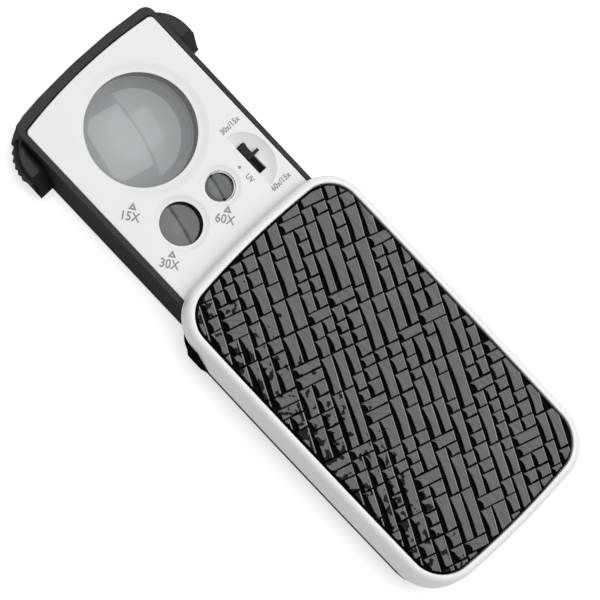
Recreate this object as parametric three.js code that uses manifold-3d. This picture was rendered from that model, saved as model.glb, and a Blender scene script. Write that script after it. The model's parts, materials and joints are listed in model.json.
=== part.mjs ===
// Pull-out pocket loupe with three lenses, two white lamps and one ultraviolet lamp.
// Millimetres, +Z up. The drawer is drawn out toward -X and closes toward +X.
// The origin is below the middle of the open loupe, on the surface that it lies on.

import * as THREE from "three";
import { mergeVertices } from "three/addons/utils/BufferGeometryUtils.js";
import Module from "manifold-3d";

const wasm = await Module();
wasm.setup();

// How far the drawer stands out of the sleeve, and how far it slides in
const drawerShown = 57.8;
const drawerTravel = 57.3;

// Clearances
const overrun = 5;
const seatGap = 0.3;
const slideGap = 0.4;

// Sleeve shells
const endBow = 1.6;
const sideBow = 0.3;
const farCorner = 10.5;
const upperMouthCorner = 9.6;
const lowerMouthCorner = 13.5;
const shellWall = 1.6;
const floorThickness = 1.4;
const roofThickness = 1.5;
const sideLean = 2.2;
const bottomRoundWidth = 2.6;
const bottomRoundHeight = 3;
const topRound = 1.5;
const wallDraft = 0.35;
const rimWidth = 2.3;
const partingRise = 7.4;
const partingMouthRise = 0.7;
const partingFallRun = 9.5;
const shellSplitGap = 0.25;
const archWall = 1.1;
const archSlant = 1;
const railThickness = 1.2;
const railHeight = 6.5;
const roofRoom = 2.6;
const roofRibThickness = 1.2;
const roofRibInset = 1.3;
const stopRibThickness = 1.6;
const stopRibWidth = 14;

// Inlay plate with its embossed blocks
const inlayBase = 1.1;
const inlayRelief = 0.8;
const inlayClearance = 0.2;
const inlayBorder = 0.7;
const reliefTurn = -32;
const bandWidthLeast = 2.5;
const bandWidthSpread = 0.9;
const longBlockLeast = 8.5;
const longBlockSpread = 7;
const squareBlockLeast = 2.2;
const squareBlockSpread = 0.9;
const grooveWidth = 0.65;
const blockSlant = 0.32;

// Drawer tray
const trayWall = 1.15;
const trayFloor = 1.4;
const traySideRoom = 5.7;
const tailRoom = 17.8;
const trayRimDrop = 0.4;
const drawerBow = 1.7;
const trayCorner = 2.4;
const trayFootCorner = 17.3;
const trayFootSetback = 0.6;
const trayFootSide = 12.7;
const endWall = 2.3;
const wellWall = 1.1;
const stopLugLength = 2;
const stopLugWidth = 6;
const stopLugGap = 0.5;

// Thumb grips at the drawer's end
const gripCorner = 10.5;
const gripSetback = 1.8;
const gripStart = 3.9;
const gripEnd = 18.5;
const gripLift = 0.5;
const gripShoulderLength = 2.8;
const gripOuterTop = 8;
const gripEdgeDrop = 1;
const gripCrown = 0.2;
const gripValley = 1.5;
const gripSlopeRun = 5.2;
const gripEndTop = 4.6;
const gripRidgeStart = 4.9;
const gripRidgeCount = 5;
const gripRidgePitch = 1.6;
const gripRidgeDepth = 0.45;

// Lens panel
const panelThickness = 1.5;
const panelStart = 2.65;
const panelCorner = 1.2;
const panelEdgeRoom = 1.4;
const panelFrontLand = 3.25;
const largeSideLand = 4.6;
const mediumSideLand = 5.5;
const scoopSideLand = 1.4;
const dishDepth = 0.6;

// Lenses, their holes in the panel and the dishes round the holes
const largeHole = 14.15;
const largeDishWidth = 2.75;
const largeLensLap = 0.85;
const largeLensEdge = 1.6;
const largeLensThickness = 6.6;
const largeSeatRise = 3.5;
const mediumHole = 5.45;
const mediumDishWidth = 1.75;
const mediumLensLap = 0.65;
const mediumLensEdge = 1;
const mediumLensThickness = 3.4;
const smallHole = 3.9;
const smallDishWidth = 1.5;
const smallLensLap = 0.6;
const smallLensEdge = 1.2;
const smallLensThickness = 3.6;
const barrelWall = 1;
const barrelSideGap = 0.3;
const barrelTuck = 0.8;
const barrelLip = 0.6;
const lensRelief = 0.2;
const retainerWall = 0.7;

// Slide switch
const slotLead = 3.9;
const slotLength = 8.4;
const slotLand = 3.5;
const slotWidth = 2.7;
const scoopLength = 15.6;
const scoopReach = 6.1;
const scoopDepth = 1.7;
const scoopSkin = 1.1;
const knobLength = 3.8;
const knobRise = 0.35;
const knobBaseDrop = 1.1;
const knobRidge = 0.8;
const knobReach = 3.6;
const knobStem = 1.1;
const switchLength = 9.4;
const switchWidth = 3.6;
const switchHeight = 1.5;
const switchRoom = 1;
const switchTravel = 4;

// Circuit board and lamps
const boardThickness = 0.9;
const boardFoot = 5;
const boardTuck = 0.4;
const boardSideRoom = 2.6;
const boardLensGap = 0.2;
const boardPostRadius = 1.2;
const lampRadius = 1.5;
const lampFlange = 1.85;
const lampFlangeThickness = 0.9;
const lampLength = 5.1;
const lampTipRecess = 0.3;
const chipLength = 1.7;
const chipWidth = 0.9;
const chipHeight = 0.55;
const solderGap = 0.1;

// Cells and their door
const cellRadius = 5.8;
const cellThickness = 3.05;
const cellSpacing = 1;
const cellClearance = 0.3;
const cellCanStep = 0.45;
const cradleWall = 0.9;
const doorThickness = 1.2;
const doorCellLand = 0.8;
const doorRun = 2.2;
const doorRail = 1.5;
const doorSideLand = 1.6;
const doorTongue = 0.8;
const doorTongueThickness = 0.5;
const doorGrooveCount = 4;
const doorGroovePitch = 1.3;
const doorGrooveWidth = 0.6;
const doorGrooveDepth = 0.35;
const doorGrooveLength = 12;
const doorGrooveLand = 1.5;
const contactThickness = 0.25;
const contactWidth = 4;
const contactLift = 0.25;

// Tray screws
const screwRadius = 0.8;
const screwHeadRadius = 1.6;
const screwHeadThickness = 1;
const screwTipLand = 2;
const screwBossRadius = 2.1;
const screwInset = 4.2;
const screwFrontLand = 3.75;
const screwBoardRoom = 2.4;
const screwDoorRoom = 2.5;
const screwBossHeight = 3.5;

// Facets
const cornerSteps = 6;
const endSteps = 4;
const roundSteps = 4;
const lensSteps = 3;
const largeSegments = 48;
const mediumSegments = 20;
const smallSegments = 12;

// Seed of the embossing's fixed sequence, and the two numbers of its generator
const reliefSeed = 7;
const sequenceFactor = 16807;
const sequenceModulus = 2147483647;

// Heights, from the sleeve's floor up
const trayBottom = floorThickness + seatGap;
const trayFloorTop = trayBottom + trayFloor;
const boardUnder = trayBottom + lampTipRecess + lampLength + seatGap;
const switchBottom = boardUnder + boardThickness + solderGap;
const panelTop = switchBottom + switchHeight + switchRoom + scoopSkin + scoopDepth;
const panelUnder = panelTop - panelThickness;
const ledgeTop = panelUnder - seatGap;
const trayTop = panelTop - trayRimDrop;
const roofUnder = panelTop + roofRoom;
const roofTop = roofUnder + roofThickness;
const sleeveHeight = roofTop + seatGap + inlayBase + inlayRelief;
const partingHeight = bottomRoundHeight + partingRise;
const partingMouthHeight = panelTop + partingMouthRise;
const largeLensSeat = trayFloorTop + largeSeatRise;
const screwBossSplit = trayBottom + screwBossHeight;
const screwTip = panelUnder - screwTipLand;
const gripBottom = trayBottom + gripLift;
const gripTop = partingHeight;
const knobTop = panelTop + knobRise;

// Across the drawer: the panel is as wide as its large dish or its row of small ones needs
const largeDish = largeHole + largeDishWidth;
const mediumDish = mediumHole + mediumDishWidth;
const smallDish = smallHole + smallDishWidth;
const largeLensRadius = largeHole + largeLensLap;
const mediumLensRadius = mediumHole + mediumLensLap;
const smallLensRadius = smallHole + smallLensLap;
const wellRadius = largeLensRadius + seatGap + wellWall;
const mediumBarrel = mediumLensRadius + seatGap + barrelWall;
const smallBarrel = smallLensRadius + seatGap + barrelWall;
const smallFromMedium = mediumBarrel + barrelSideGap + smallBarrel;
const slotFromSmall = smallBarrel + slotLand;
const rowWidth = mediumSideLand + mediumDish + smallFromMedium + slotFromSmall + scoopReach + scoopSideLand;
const panelWidth = Math.max(2 * (largeDish + largeSideLand), rowWidth);
const cellPitch = 2 * cellRadius + cellSpacing;
const doorWidth = 2 * (cellPitch + cellRadius + doorCellLand);
const doorRowWidth = doorWidth + 2 * (slideGap + doorTongue + doorSideLand);
const trayWidth = Math.max(panelWidth + 2 * panelEdgeRoom, doorRowWidth);
const trayHalfWidth = trayWidth / 2;
const sleeveWidth = trayWidth + 2 * traySideRoom;
const gripHalfWidth = sleeveWidth / 2;
const gripStep = archWall + slideGap;
const boardSide = trayHalfWidth - boardSideRoom;

// Along the drawer, from its outer tip
const largeLensX = panelStart + panelFrontLand + largeDish;
const lensRowX = largeLensX + wellRadius + mediumBarrel - barrelTuck;
const boardStart = largeLensX + wellRadius - boardTuck;
const boardEnd = lensRowX + mediumBarrel + seatGap + boardFoot;
const screwFrontRow = panelStart + screwFrontLand;
const screwBackRow = boardEnd + screwBoardRoom;
const doorStart = screwBackRow + screwDoorRoom;
const cradleReach = cellRadius + cellClearance + cradleWall;
const cellRow = doorStart + cradleReach;
const drawerLength = cellRow + cradleReach + doorRun;
const sleeveLength = drawerLength + tailRoom;
const panelEnd = drawerLength - stopLugLength - seatGap;

// Lens places in the drawer's own frame
const mediumLensY = mediumSideLand + mediumDish - panelWidth / 2;
const smallLensY = mediumLensY + smallFromMedium;
const largeLens = { x: largeLensX, y: 0, hole: largeHole, dish: largeDish };
const mediumLens = { x: lensRowX, y: mediumLensY, hole: mediumHole, dish: mediumDish };
const smallLens = { x: lensRowX, y: smallLensY, hole: smallHole, dish: smallDish };
const armSide = smallLensY + smallBarrel + boardLensGap;
const slotSide = smallLensY + slotFromSmall;
const slotStart = lensRowX - slotLead;
const slotEnd = slotStart + slotLength;

// Where the closed drawer's tip and thumb grips lie in the sleeve, x from its mouth
const closedTip = drawerTravel - drawerShown;
const partingEnd = closedTip + gripEnd + slideGap;
const partingMouthRun = partingEnd - partingFallRun;
const gripCornerX = gripCorner + gripSetback;

const materials = {
  white: { color: 0xe9e9ea, roughness: 0.35, metalness: 0 },
  black: { color: 0x161617, roughness: 0.45, metalness: 0 },
  inlay: { color: 0x303032, roughness: 0.3, metalness: 0 },
  glass: { color: 0xc9cfd2, roughness: 0.05, metalness: 0 },
  board: { color: 0x1f5f37, roughness: 0.5, metalness: 0 },
  metal: { color: 0xb9bbbd, roughness: 0.3, metalness: 1 },
  lamp: { color: 0xf3f4ee, roughness: 0.1, metalness: 0 },
  violet: { color: 0xb6a3dd, roughness: 0.1, metalness: 0 },
};

// Turns a closed three.js geometry into a solid with its faces pointing out
function solidOf(geometry) {
  const bare = geometry.index ? geometry.clone() : mergeVertices(geometry.clone());
  bare.deleteAttribute("normal");
  bare.deleteAttribute("uv");
  const merged = mergeVertices(bare);
  const points = merged.getAttribute("position").array;
  const index = merged.index.array;
  const corner = [new THREE.Vector3(), new THREE.Vector3(), new THREE.Vector3()];
  const kept = [];
  let volume = 0;
  for (let i = 0; i < index.length; i += 3) {
    const [a, b, c] = [index[i], index[i + 1], index[i + 2]];
    if (a === b || b === c || c === a) continue;
    corner.forEach((point, k) => point.fromArray(points, index[i + k] * 3));
    volume += corner[0].dot(corner[1].clone().cross(corner[2]));
    kept.push(a, b, c);
  }
  if (volume < 0) {
    for (let i = 0; i < kept.length; i += 3) [kept[i], kept[i + 1]] = [kept[i + 1], kept[i]];
  }
  const mesh = new wasm.Mesh({
    numProp: 3,
    vertProperties: Float32Array.from(points),
    triVerts: Uint32Array.from(kept),
  });
  return new wasm.Manifold(mesh);
}

function geometryOf(solid) {
  const mesh = solid.getMesh();
  const geometry = new THREE.BufferGeometry();
  const points = new THREE.BufferAttribute(Float32Array.from(mesh.vertProperties), 3);
  geometry.setAttribute("position", points);
  geometry.setIndex(new THREE.BufferAttribute(Uint32Array.from(mesh.triVerts), 1));
  geometry.computeVertexNormals();
  return geometry;
}

function join(first, ...others) {
  return others.reduce((sum, other) => sum.add(other), first);
}

function cut(first, ...others) {
  return others.reduce((rest, other) => rest.subtract(other), first);
}

function box(x0, x1, y0, y1, z0, z1) {
  const geometry = new THREE.BoxGeometry(x1 - x0, y1 - y0, z1 - z0);
  geometry.translate((x0 + x1) / 2, (y0 + y1) / 2, (z0 + z1) / 2);
  return solidOf(geometry);
}

// A round bar standing along Z, with its own radius at each end
function cone(x, y, z0, z1, lowRadius, highRadius, segments = mediumSegments) {
  const geometry = new THREE.CylinderGeometry(highRadius, lowRadius, z1 - z0, segments);
  geometry.rotateX(Math.PI / 2);
  geometry.translate(x, y, (z0 + z1) / 2);
  return solidOf(geometry);
}

function disc(x, y, z0, z1, radius, segments = mediumSegments) {
  return cone(x, y, z0, z1, radius, radius, segments);
}

// An outline drawn on X and Y, raised from z0 to z1
function planPrism(points, z0, z1) {
  const outline = new THREE.Shape(points.map(([x, y]) => new THREE.Vector2(x, y)));
  const geometry = new THREE.ExtrudeGeometry(outline, { depth: z1 - z0, bevelEnabled: false });
  geometry.translate(0, 0, z0);
  return solidOf(geometry);
}

// An outline drawn on X and Z, run from y0 to y1
function sidePrism(points, y0, y1) {
  const outline = new THREE.Shape(points.map(([x, z]) => new THREE.Vector2(x, z)));
  const geometry = new THREE.ExtrudeGeometry(outline, { depth: y1 - y0, bevelEnabled: false });
  geometry.rotateX(Math.PI / 2);
  geometry.translate(0, y1, 0);
  return solidOf(geometry);
}

// A profile of radius and height turned about an upright axis
function turned(profile, x, y, segments) {
  const points = profile.map(([radius, z]) => new THREE.Vector2(radius, z));
  const geometry = new THREE.LatheGeometry(points, segments);
  geometry.rotateX(Math.PI / 2);
  geometry.translate(x, y, 0);
  return solidOf(geometry);
}

// A closed body through rings of equal count, capped flat at both ends
function loft(rings) {
  const count = rings[0].length;
  const positions = [];
  const index = [];
  rings.forEach((ring) => ring.forEach(([x, y, z]) => positions.push(x, y, z)));
  for (let level = 0; level + 1 < rings.length; level += 1) {
    for (let i = 0; i < count; i += 1) {
      const next = (i + 1) % count;
      const [low, high] = [level * count, (level + 1) * count];
      index.push(low + i, low + next, high + next);
      index.push(low + i, high + next, high + i);
    }
  }
  [0, rings.length - 1].forEach((level) => {
    const middle = positions.length / 3;
    const sum = rings[level].reduce((total, point) => total.map((v, k) => v + point[k]), [0, 0, 0]);
    positions.push(...sum.map((v) => v / count));
    for (let i = 0; i < count; i += 1) {
      const [from, to] = [level * count + i, level * count + ((i + 1) % count)];
      if (level === 0) index.push(middle, to, from);
      else index.push(middle, from, to);
    }
  });
  const geometry = new THREE.BufferGeometry();
  geometry.setAttribute("position", new THREE.Float32BufferAttribute(positions, 3));
  geometry.setIndex(index);
  return solidOf(geometry);
}

// A rectangle from x = 0 to its length, with round corners and ends and sides that bow outward
function bowedOutline(size, inset = 0) {
  const halfLength = size.length / 2 - inset - (size.nearBow + size.farBow) / 2;
  const halfWidth = size.width / 2 - inset - size.sideBow;
  const middle = size.length / 2 + (size.nearBow - size.farBow) / 2;
  const quarters = [
    [1, 1, size.farCorner],
    [-1, 1, size.nearCorner],
    [-1, -1, size.nearCorner],
    [1, -1, size.farCorner],
  ];
  const flat = [];
  quarters.forEach(([signX, signY, corner], quarter) => {
    const radius = Math.max(corner - inset, size.leastCorner);
    for (let i = 0; i <= cornerSteps; i += 1) {
      const angle = (quarter + i / cornerSteps) * (Math.PI / 2);
      const x = signX * (halfLength - radius) + radius * Math.cos(angle);
      const y = signY * (halfWidth - radius) + radius * Math.sin(angle);
      flat.push([x, y]);
    }
  });
  const points = [];
  flat.forEach(([x, y], i) => {
    points.push([x, y]);
    if (i % (cornerSteps + 1) !== cornerSteps) return;
    const [nextX, nextY] = flat[(i + 1) % flat.length];
    for (let step = 1; step < endSteps; step += 1) {
      const share = step / endSteps;
      points.push([x + (nextX - x) * share, y + (nextY - y) * share]);
    }
  });
  return points.map(([x, y]) => {
    const bow = x < 0 ? size.nearBow : size.farBow;
    const stretchX = 1 + (bow / halfLength) * (1 - (y / halfWidth) ** 2);
    const stretchY = 1 + (size.sideBow / halfWidth) * (1 - (x / halfLength) ** 2);
    return [middle + x * stretchX, y * stretchY];
  });
}

function ringAt(size, inset, z) {
  return bowedOutline(size, inset).map(([x, y]) => [x, y, z]);
}

// Sleeve, in its own frame with x from the middle of its mouth

function sleeveSize(mouthCorner) {
  return {
    length: sleeveLength,
    width: sleeveWidth,
    nearBow: endBow,
    farBow: endBow,
    sideBow,
    nearCorner: mouthCorner,
    farCorner,
    leastCorner: rimWidth,
  };
}

// How far the sleeve's side lies inside its widest outline at a height
function sideInset(z) {
  if (z < partingHeight) {
    const share = Math.max(0, 1 - z / bottomRoundHeight);
    const lean = sideLean * (1 - z / partingHeight);
    return lean + bottomRoundWidth * (1 - Math.sqrt(1 - share * share));
  }
  const draft = (wallDraft * (z - partingHeight)) / (sleeveHeight - partingHeight);
  const above = Math.max(0, z - (sleeveHeight - topRound)) / topRound;
  return draft + topRound * (1 - Math.sqrt(Math.max(0, 1 - above * above)));
}

function sleeveBody(mouthCorner) {
  const size = sleeveSize(mouthCorner);
  const heights = [];
  for (let i = 0; i <= roundSteps; i += 1) {
    const angle = (i / roundSteps) * (Math.PI / 2);
    heights.push(bottomRoundHeight * (1 - Math.cos(angle)));
  }
  heights.push(partingHeight);
  for (let i = 0; i <= roundSteps; i += 1) {
    const angle = (i / roundSteps) * (Math.PI / 2);
    heights.push(sleeveHeight - topRound * (1 - Math.sin(angle)));
  }
  return loft(heights.map((z) => ringAt(size, sideInset(z), z)));
}

function sleeveCavity(mouthCorner) {
  const size = sleeveSize(mouthCorner);
  const middle = (floorThickness + bottomRoundHeight) / 2;
  const heights = [floorThickness, middle, bottomRoundHeight, partingHeight, roofUnder];
  return loft(heights.map((z) => ringAt(size, sideInset(z) + shellWall, z)));
}

// The way in for the drawer through the mouth
function mouthCut() {
  const halfWidth = trayHalfWidth + slideGap;
  const depth = lowerMouthCorner + endBow;
  return box(-overrun, depth, -halfWidth, halfWidth, floorThickness, partingMouthHeight);
}

// The side view of everything below the line where the two shells meet
function belowParting(drop) {
  const far = sleeveLength + overrun;
  return sidePrism(
    [
      [-overrun, -overrun],
      [far, -overrun],
      [far, partingHeight - drop],
      [partingEnd, partingHeight - drop],
      [partingMouthRun, partingMouthHeight - drop],
      [-overrun, partingMouthHeight - drop],
    ],
    -sleeveWidth,
    sleeveWidth,
  );
}

// Height of the thumb grip's outer top edge at a distance from the drawer's tip
function gripTopAt(x) {
  const share = Math.min(1, Math.max(0, (x - gripStart) / gripShoulderLength));
  const slope = Math.max(0, (x - gripEnd + gripSlopeRun) / gripSlopeRun);
  const front = gripTop + (trayTop - gripTop) * (1 - share) ** 2;
  return front - (gripTop - gripEndTop) * slope;
}

// The outside of a thumb grip seen from above: the sleeve's mouth corner, drawn inward by an inset
function gripOutline(x, inset) {
  const radius = gripCorner - inset;
  const along = Math.max(0, gripCornerX - x);
  return gripHalfWidth - gripCorner + Math.sqrt(Math.max(0, radius * radius - along * along));
}

// Open corners at the mouth that the closed drawer's thumb grips fill, each under an arch of the shell
function gripPockets() {
  const steps = 5;
  const outside = -overrun;
  const inner = trayHalfWidth + slideGap;
  const archStart = closedTip + gripCornerX;
  const underArch = gripOuterTop + slideGap;
  const profile = [
    [partingEnd, -overrun],
    [partingEnd, underArch],
    [archStart, underArch],
    [archStart - archSlant, gripTop + slideGap],
  ];
  for (let i = 0; i <= steps; i += 1) {
    const x = gripStart + gripShoulderLength * (1 - i / steps);
    profile.push([closedTip + x + slideGap, gripTopAt(x) + slideGap]);
  }
  profile.push([outside, trayTop + slideGap]);
  profile.push([outside, -overrun]);
  const sides = [-1, 1].flatMap((side) => {
    const [near, far, archInner] = [inner, sleeveWidth, gripHalfWidth - archWall].map((y) => side * y);
    return [
      sidePrism(profile, Math.min(near, far), Math.max(near, far)),
      box(
        archStart - archSlant, partingEnd, Math.min(near, archInner), Math.max(near, archInner),
        underArch - slideGap, gripTop + slideGap,
      ),
    ];
  });
  return join(sides[0], ...sides.slice(1));
}

function upperShell() {
  const body = sleeveBody(upperMouthCorner);
  const recess = planPrism(
    bowedOutline(sleeveSize(upperMouthCorner), rimWidth),
    roofTop,
    sleeveHeight + overrun,
  );
  const shell = cut(body, sleeveCavity(upperMouthCorner), mouthCut(), belowParting(0), recess);
  const ribStart = lowerMouthCorner;
  const ribEnd = sleeveLength - farCorner;
  const ribs = [-1, 1].map((side) => {
    const middle = side * (panelWidth / 2 - roofRibInset);
    const [y0, y1] = [middle - roofRibThickness / 2, middle + roofRibThickness / 2];
    return box(ribStart, ribEnd, y0, y1, panelTop + seatGap, roofUnder + seatGap);
  });
  const stopFront = drawerLength - drawerShown - stopLugLength - stopLugGap;
  const stop = box(
    stopFront - stopRibThickness,
    stopFront,
    -stopRibWidth / 2,
    stopRibWidth / 2,
    panelTop + slideGap,
    roofUnder + seatGap,
  );
  return join(shell, ...ribs, stop);
}

function lowerShell() {
  const body = sleeveBody(lowerMouthCorner);
  const cavity = sleeveCavity(lowerMouthCorner);
  const parting = belowParting(shellSplitGap);
  const shell = cut(body, cavity, mouthCut()).intersect(parting);
  const railStart = partingEnd + seatGap + shellWall;
  const railEnd = sleeveLength - endBow - shellWall;
  const rails = [-1, 1].map((side) => {
    const near = side * (trayHalfWidth + slideGap);
    const far = near + side * railThickness;
    const [y0, y1] = [Math.min(near, far), Math.max(near, far)];
    const rail = box(railStart, railEnd, y0, y1, floorThickness / 2, railHeight);
    const wallY = side * (sleeveWidth / 2 - shellWall / 2);
    const gussetCount = 3;
    const gussets = [];
    for (let i = 0; i < gussetCount; i += 1) {
      const x = railStart + ((railEnd - railStart - farCorner) * i) / (gussetCount - 1);
      const [g0, g1] = [Math.min(near, wallY), Math.max(near, wallY)];
      gussets.push(box(x, x + railThickness, g0, g1, floorThickness / 2, railHeight));
    }
    return join(rail, ...gussets).intersect(body);
  });
  return cut(join(shell, ...rails), gripPockets());
}

// A fixed sequence of shares between 0 and 1, so that the embossing is the same each time
function shareSequence(seed) {
  let state = seed;
  return () => {
    state = (state * sequenceFactor) % sequenceModulus;
    return state / sequenceModulus;
  };
}

// Rows of long strips and short squares, each a slightly skewed block
function reliefBlocks(reach, z0, z1) {
  const share = shareSequence(reliefSeed);
  const blocks = [];
  const turn = (reliefTurn * Math.PI) / 180;
  const [cos, sin] = [Math.cos(turn), Math.sin(turn)];
  const longRunShare = 0.42;
  const place = (u, v) => [u * cos - v * sin, u * sin + v * cos];
  let v = -reach;
  while (v < reach) {
    const width = bandWidthLeast + bandWidthSpread * share();
    let u = -reach - longBlockSpread * share();
    while (u < reach) {
      const isLong = share() < longRunShare;
      const least = isLong ? longBlockLeast : squareBlockLeast;
      const spread = isLong ? longBlockSpread : squareBlockSpread;
      const length = least + spread * share();
      const slant = blockSlant * (share() - share());
      const [u1, v1] = [u + length, v + width];
      blocks.push([
        place(u, v + slant),
        place(u1, v - slant),
        place(u1 + slant, v1),
        place(u - slant, v1 + slant),
      ]);
      u = u1 + grooveWidth;
    }
    v += width + grooveWidth;
  }
  const near = blocks.filter((block) => {
    const [x, y] = block[0];
    const margin = longBlockLeast + longBlockSpread;
    return Math.abs(x) < sleeveLength / 2 + margin && Math.abs(y) < sleeveWidth / 2 + margin;
  });
  const solids = near.map((block) => {
    const shifted = block.map(([x, y]) => [x + sleeveLength / 2, y]);
    return planPrism(shifted, z0, z1);
  });
  return join(solids[0], ...solids.slice(1));
}

function inlayPlate() {
  const size = sleeveSize(upperMouthCorner);
  const bottom = roofTop + seatGap;
  const baseTop = bottom + inlayBase;
  const base = planPrism(bowedOutline(size, rimWidth + inlayClearance), bottom, baseTop);
  const border = bowedOutline(size, rimWidth + inlayClearance + inlayBorder);
  const face = planPrism(border, baseTop - inlayBase / 2, sleeveHeight);
  const reach = (sleeveLength + sleeveWidth) / 2;
  const blocks = reliefBlocks(reach, baseTop - inlayBase / 2, sleeveHeight);
  return join(base, blocks.intersect(face));
}

// Drawer, in its own frame with x from its outer tip

function drawerSize(inset) {
  return {
    length: drawerLength - 2 * inset,
    width: trayWidth - 2 * inset,
    nearBow: drawerBow,
    farBow: 0,
    sideBow: 0,
    nearCorner: Math.max(trayCorner - inset, trayWall),
    farCorner: Math.max(trayCorner - inset, trayWall),
    leastCorner: trayWall,
  };
}

const doorContactBottom = trayBottom + doorThickness + contactLift;
const doorwayTop = doorContactBottom + contactThickness + seatGap;
const cellUnder = doorwayTop;
const cellTop = cellUnder + cellThickness;

// Places along a thumb grip where its section is drawn, with the height of the finger ridge there
function gripStations() {
  const frontSteps = 3;
  const stations = [];
  for (let i = 0; i < frontSteps; i += 1) {
    stations.push({ x: gripStart + ((gripRidgeStart - gripStart) * i) / frontSteps, ridge: 0 });
  }
  for (let i = 0; i < 2 * gripRidgeCount; i += 1) {
    stations.push({ x: gripRidgeStart + (gripRidgePitch * i) / 2, ridge: (i % 2) * gripRidgeDepth });
  }
  const slopeStart = gripEnd - gripSlopeRun;
  const slopeSteps = 4;
  for (let i = 0; i <= slopeSteps; i += 1) {
    stations.push({ x: slopeStart + (gripSlopeRun * i) / slopeSteps, ridge: 0 });
  }
  return stations;
}

// One thumb grip: a domed top that falls to the tray's side, a step all round it and a ridged skirt
function gripBody(side) {
  const inner = trayHalfWidth - trayWall / 2;
  const crownShares = [0.35, 0.7, 0.88];
  const outermost = (y) => Math.max(y, trayHalfWidth - trayWall / 4);
  const rings = gripStations().map(({ x, ridge }) => {
    const top = gripTopAt(x);
    const ledge = Math.min(gripOuterTop, top - gripEdgeDrop);
    const edge = outermost(gripOutline(x, gripStep));
    const ring = [
      [x, inner, gripBottom],
      [x, outermost(gripOutline(x, sideInset(gripBottom))), gripBottom],
    ];
    [1, 2].forEach((step) => {
      const z = gripBottom + ((ledge - gripBottom) * step) / 3;
      ring.push([x, outermost(gripOutline(x, sideInset(z) - ridge)), z]);
    });
    ring.push([x, outermost(gripOutline(x, sideInset(ledge))), ledge]);
    ring.push([x, edge, ledge]);
    ring.push([x, edge, top]);
    crownShares.forEach((share) => {
      const rise = gripCrown * Math.sin(share * Math.PI) - gripValley * share ** 6;
      ring.push([x, edge + (inner - edge) * share, top + rise]);
    });
    ring.push([x, inner, top - gripValley]);
    return ring.map(([px, py, pz]) => [px, py * side, pz]);
  });
  return loft(rings);
}

// Below the grips' tops the tray's outer corner is rounded off to meet the sleeve's corner
function trayFootCut(side) {
  const steps = 8;
  const middleX = trayFootSetback + trayFootCorner;
  const outline = [[-overrun, side * trayFootSide]];
  for (let i = 0; i <= steps; i += 1) {
    const angle = Math.PI - (i / steps) * (Math.PI / 4);
    outline.push([
      middleX + trayFootCorner * Math.cos(angle),
      side * (trayFootSide + trayFootCorner * Math.sin(angle)),
    ]);
  }
  outline.push([-overrun, side * (trayFootSide + trayFootCorner * Math.SQRT1_2)]);
  return planPrism(outline, -overrun, gripTop);
}

function boardPosts() {
  const inset = boardPostRadius + seatGap;
  return [
    [boardStart + inset, boardSide - inset],
    [boardEnd - inset, boardSide - inset],
    [boardEnd - inset, inset - boardSide],
  ];
}

function screwPlaces() {
  const y = trayHalfWidth - screwInset;
  return [screwFrontRow, screwBackRow].flatMap((x) => [
    [x, -y],
    [x, y],
  ]);
}

function cellPlaces() {
  return [-1, 0, 1].map((step) => [cellRow, step * cellPitch]);
}

function lampPlaces() {
  const foot = boardEnd - boardFoot / 2;
  return {
    medium: [foot, mediumLens.y],
    ultraviolet: [foot, smallLens.y],
    small: [boardStart + lampFlange + barrelWall, slotSide - barrelWall],
  };
}

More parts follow.
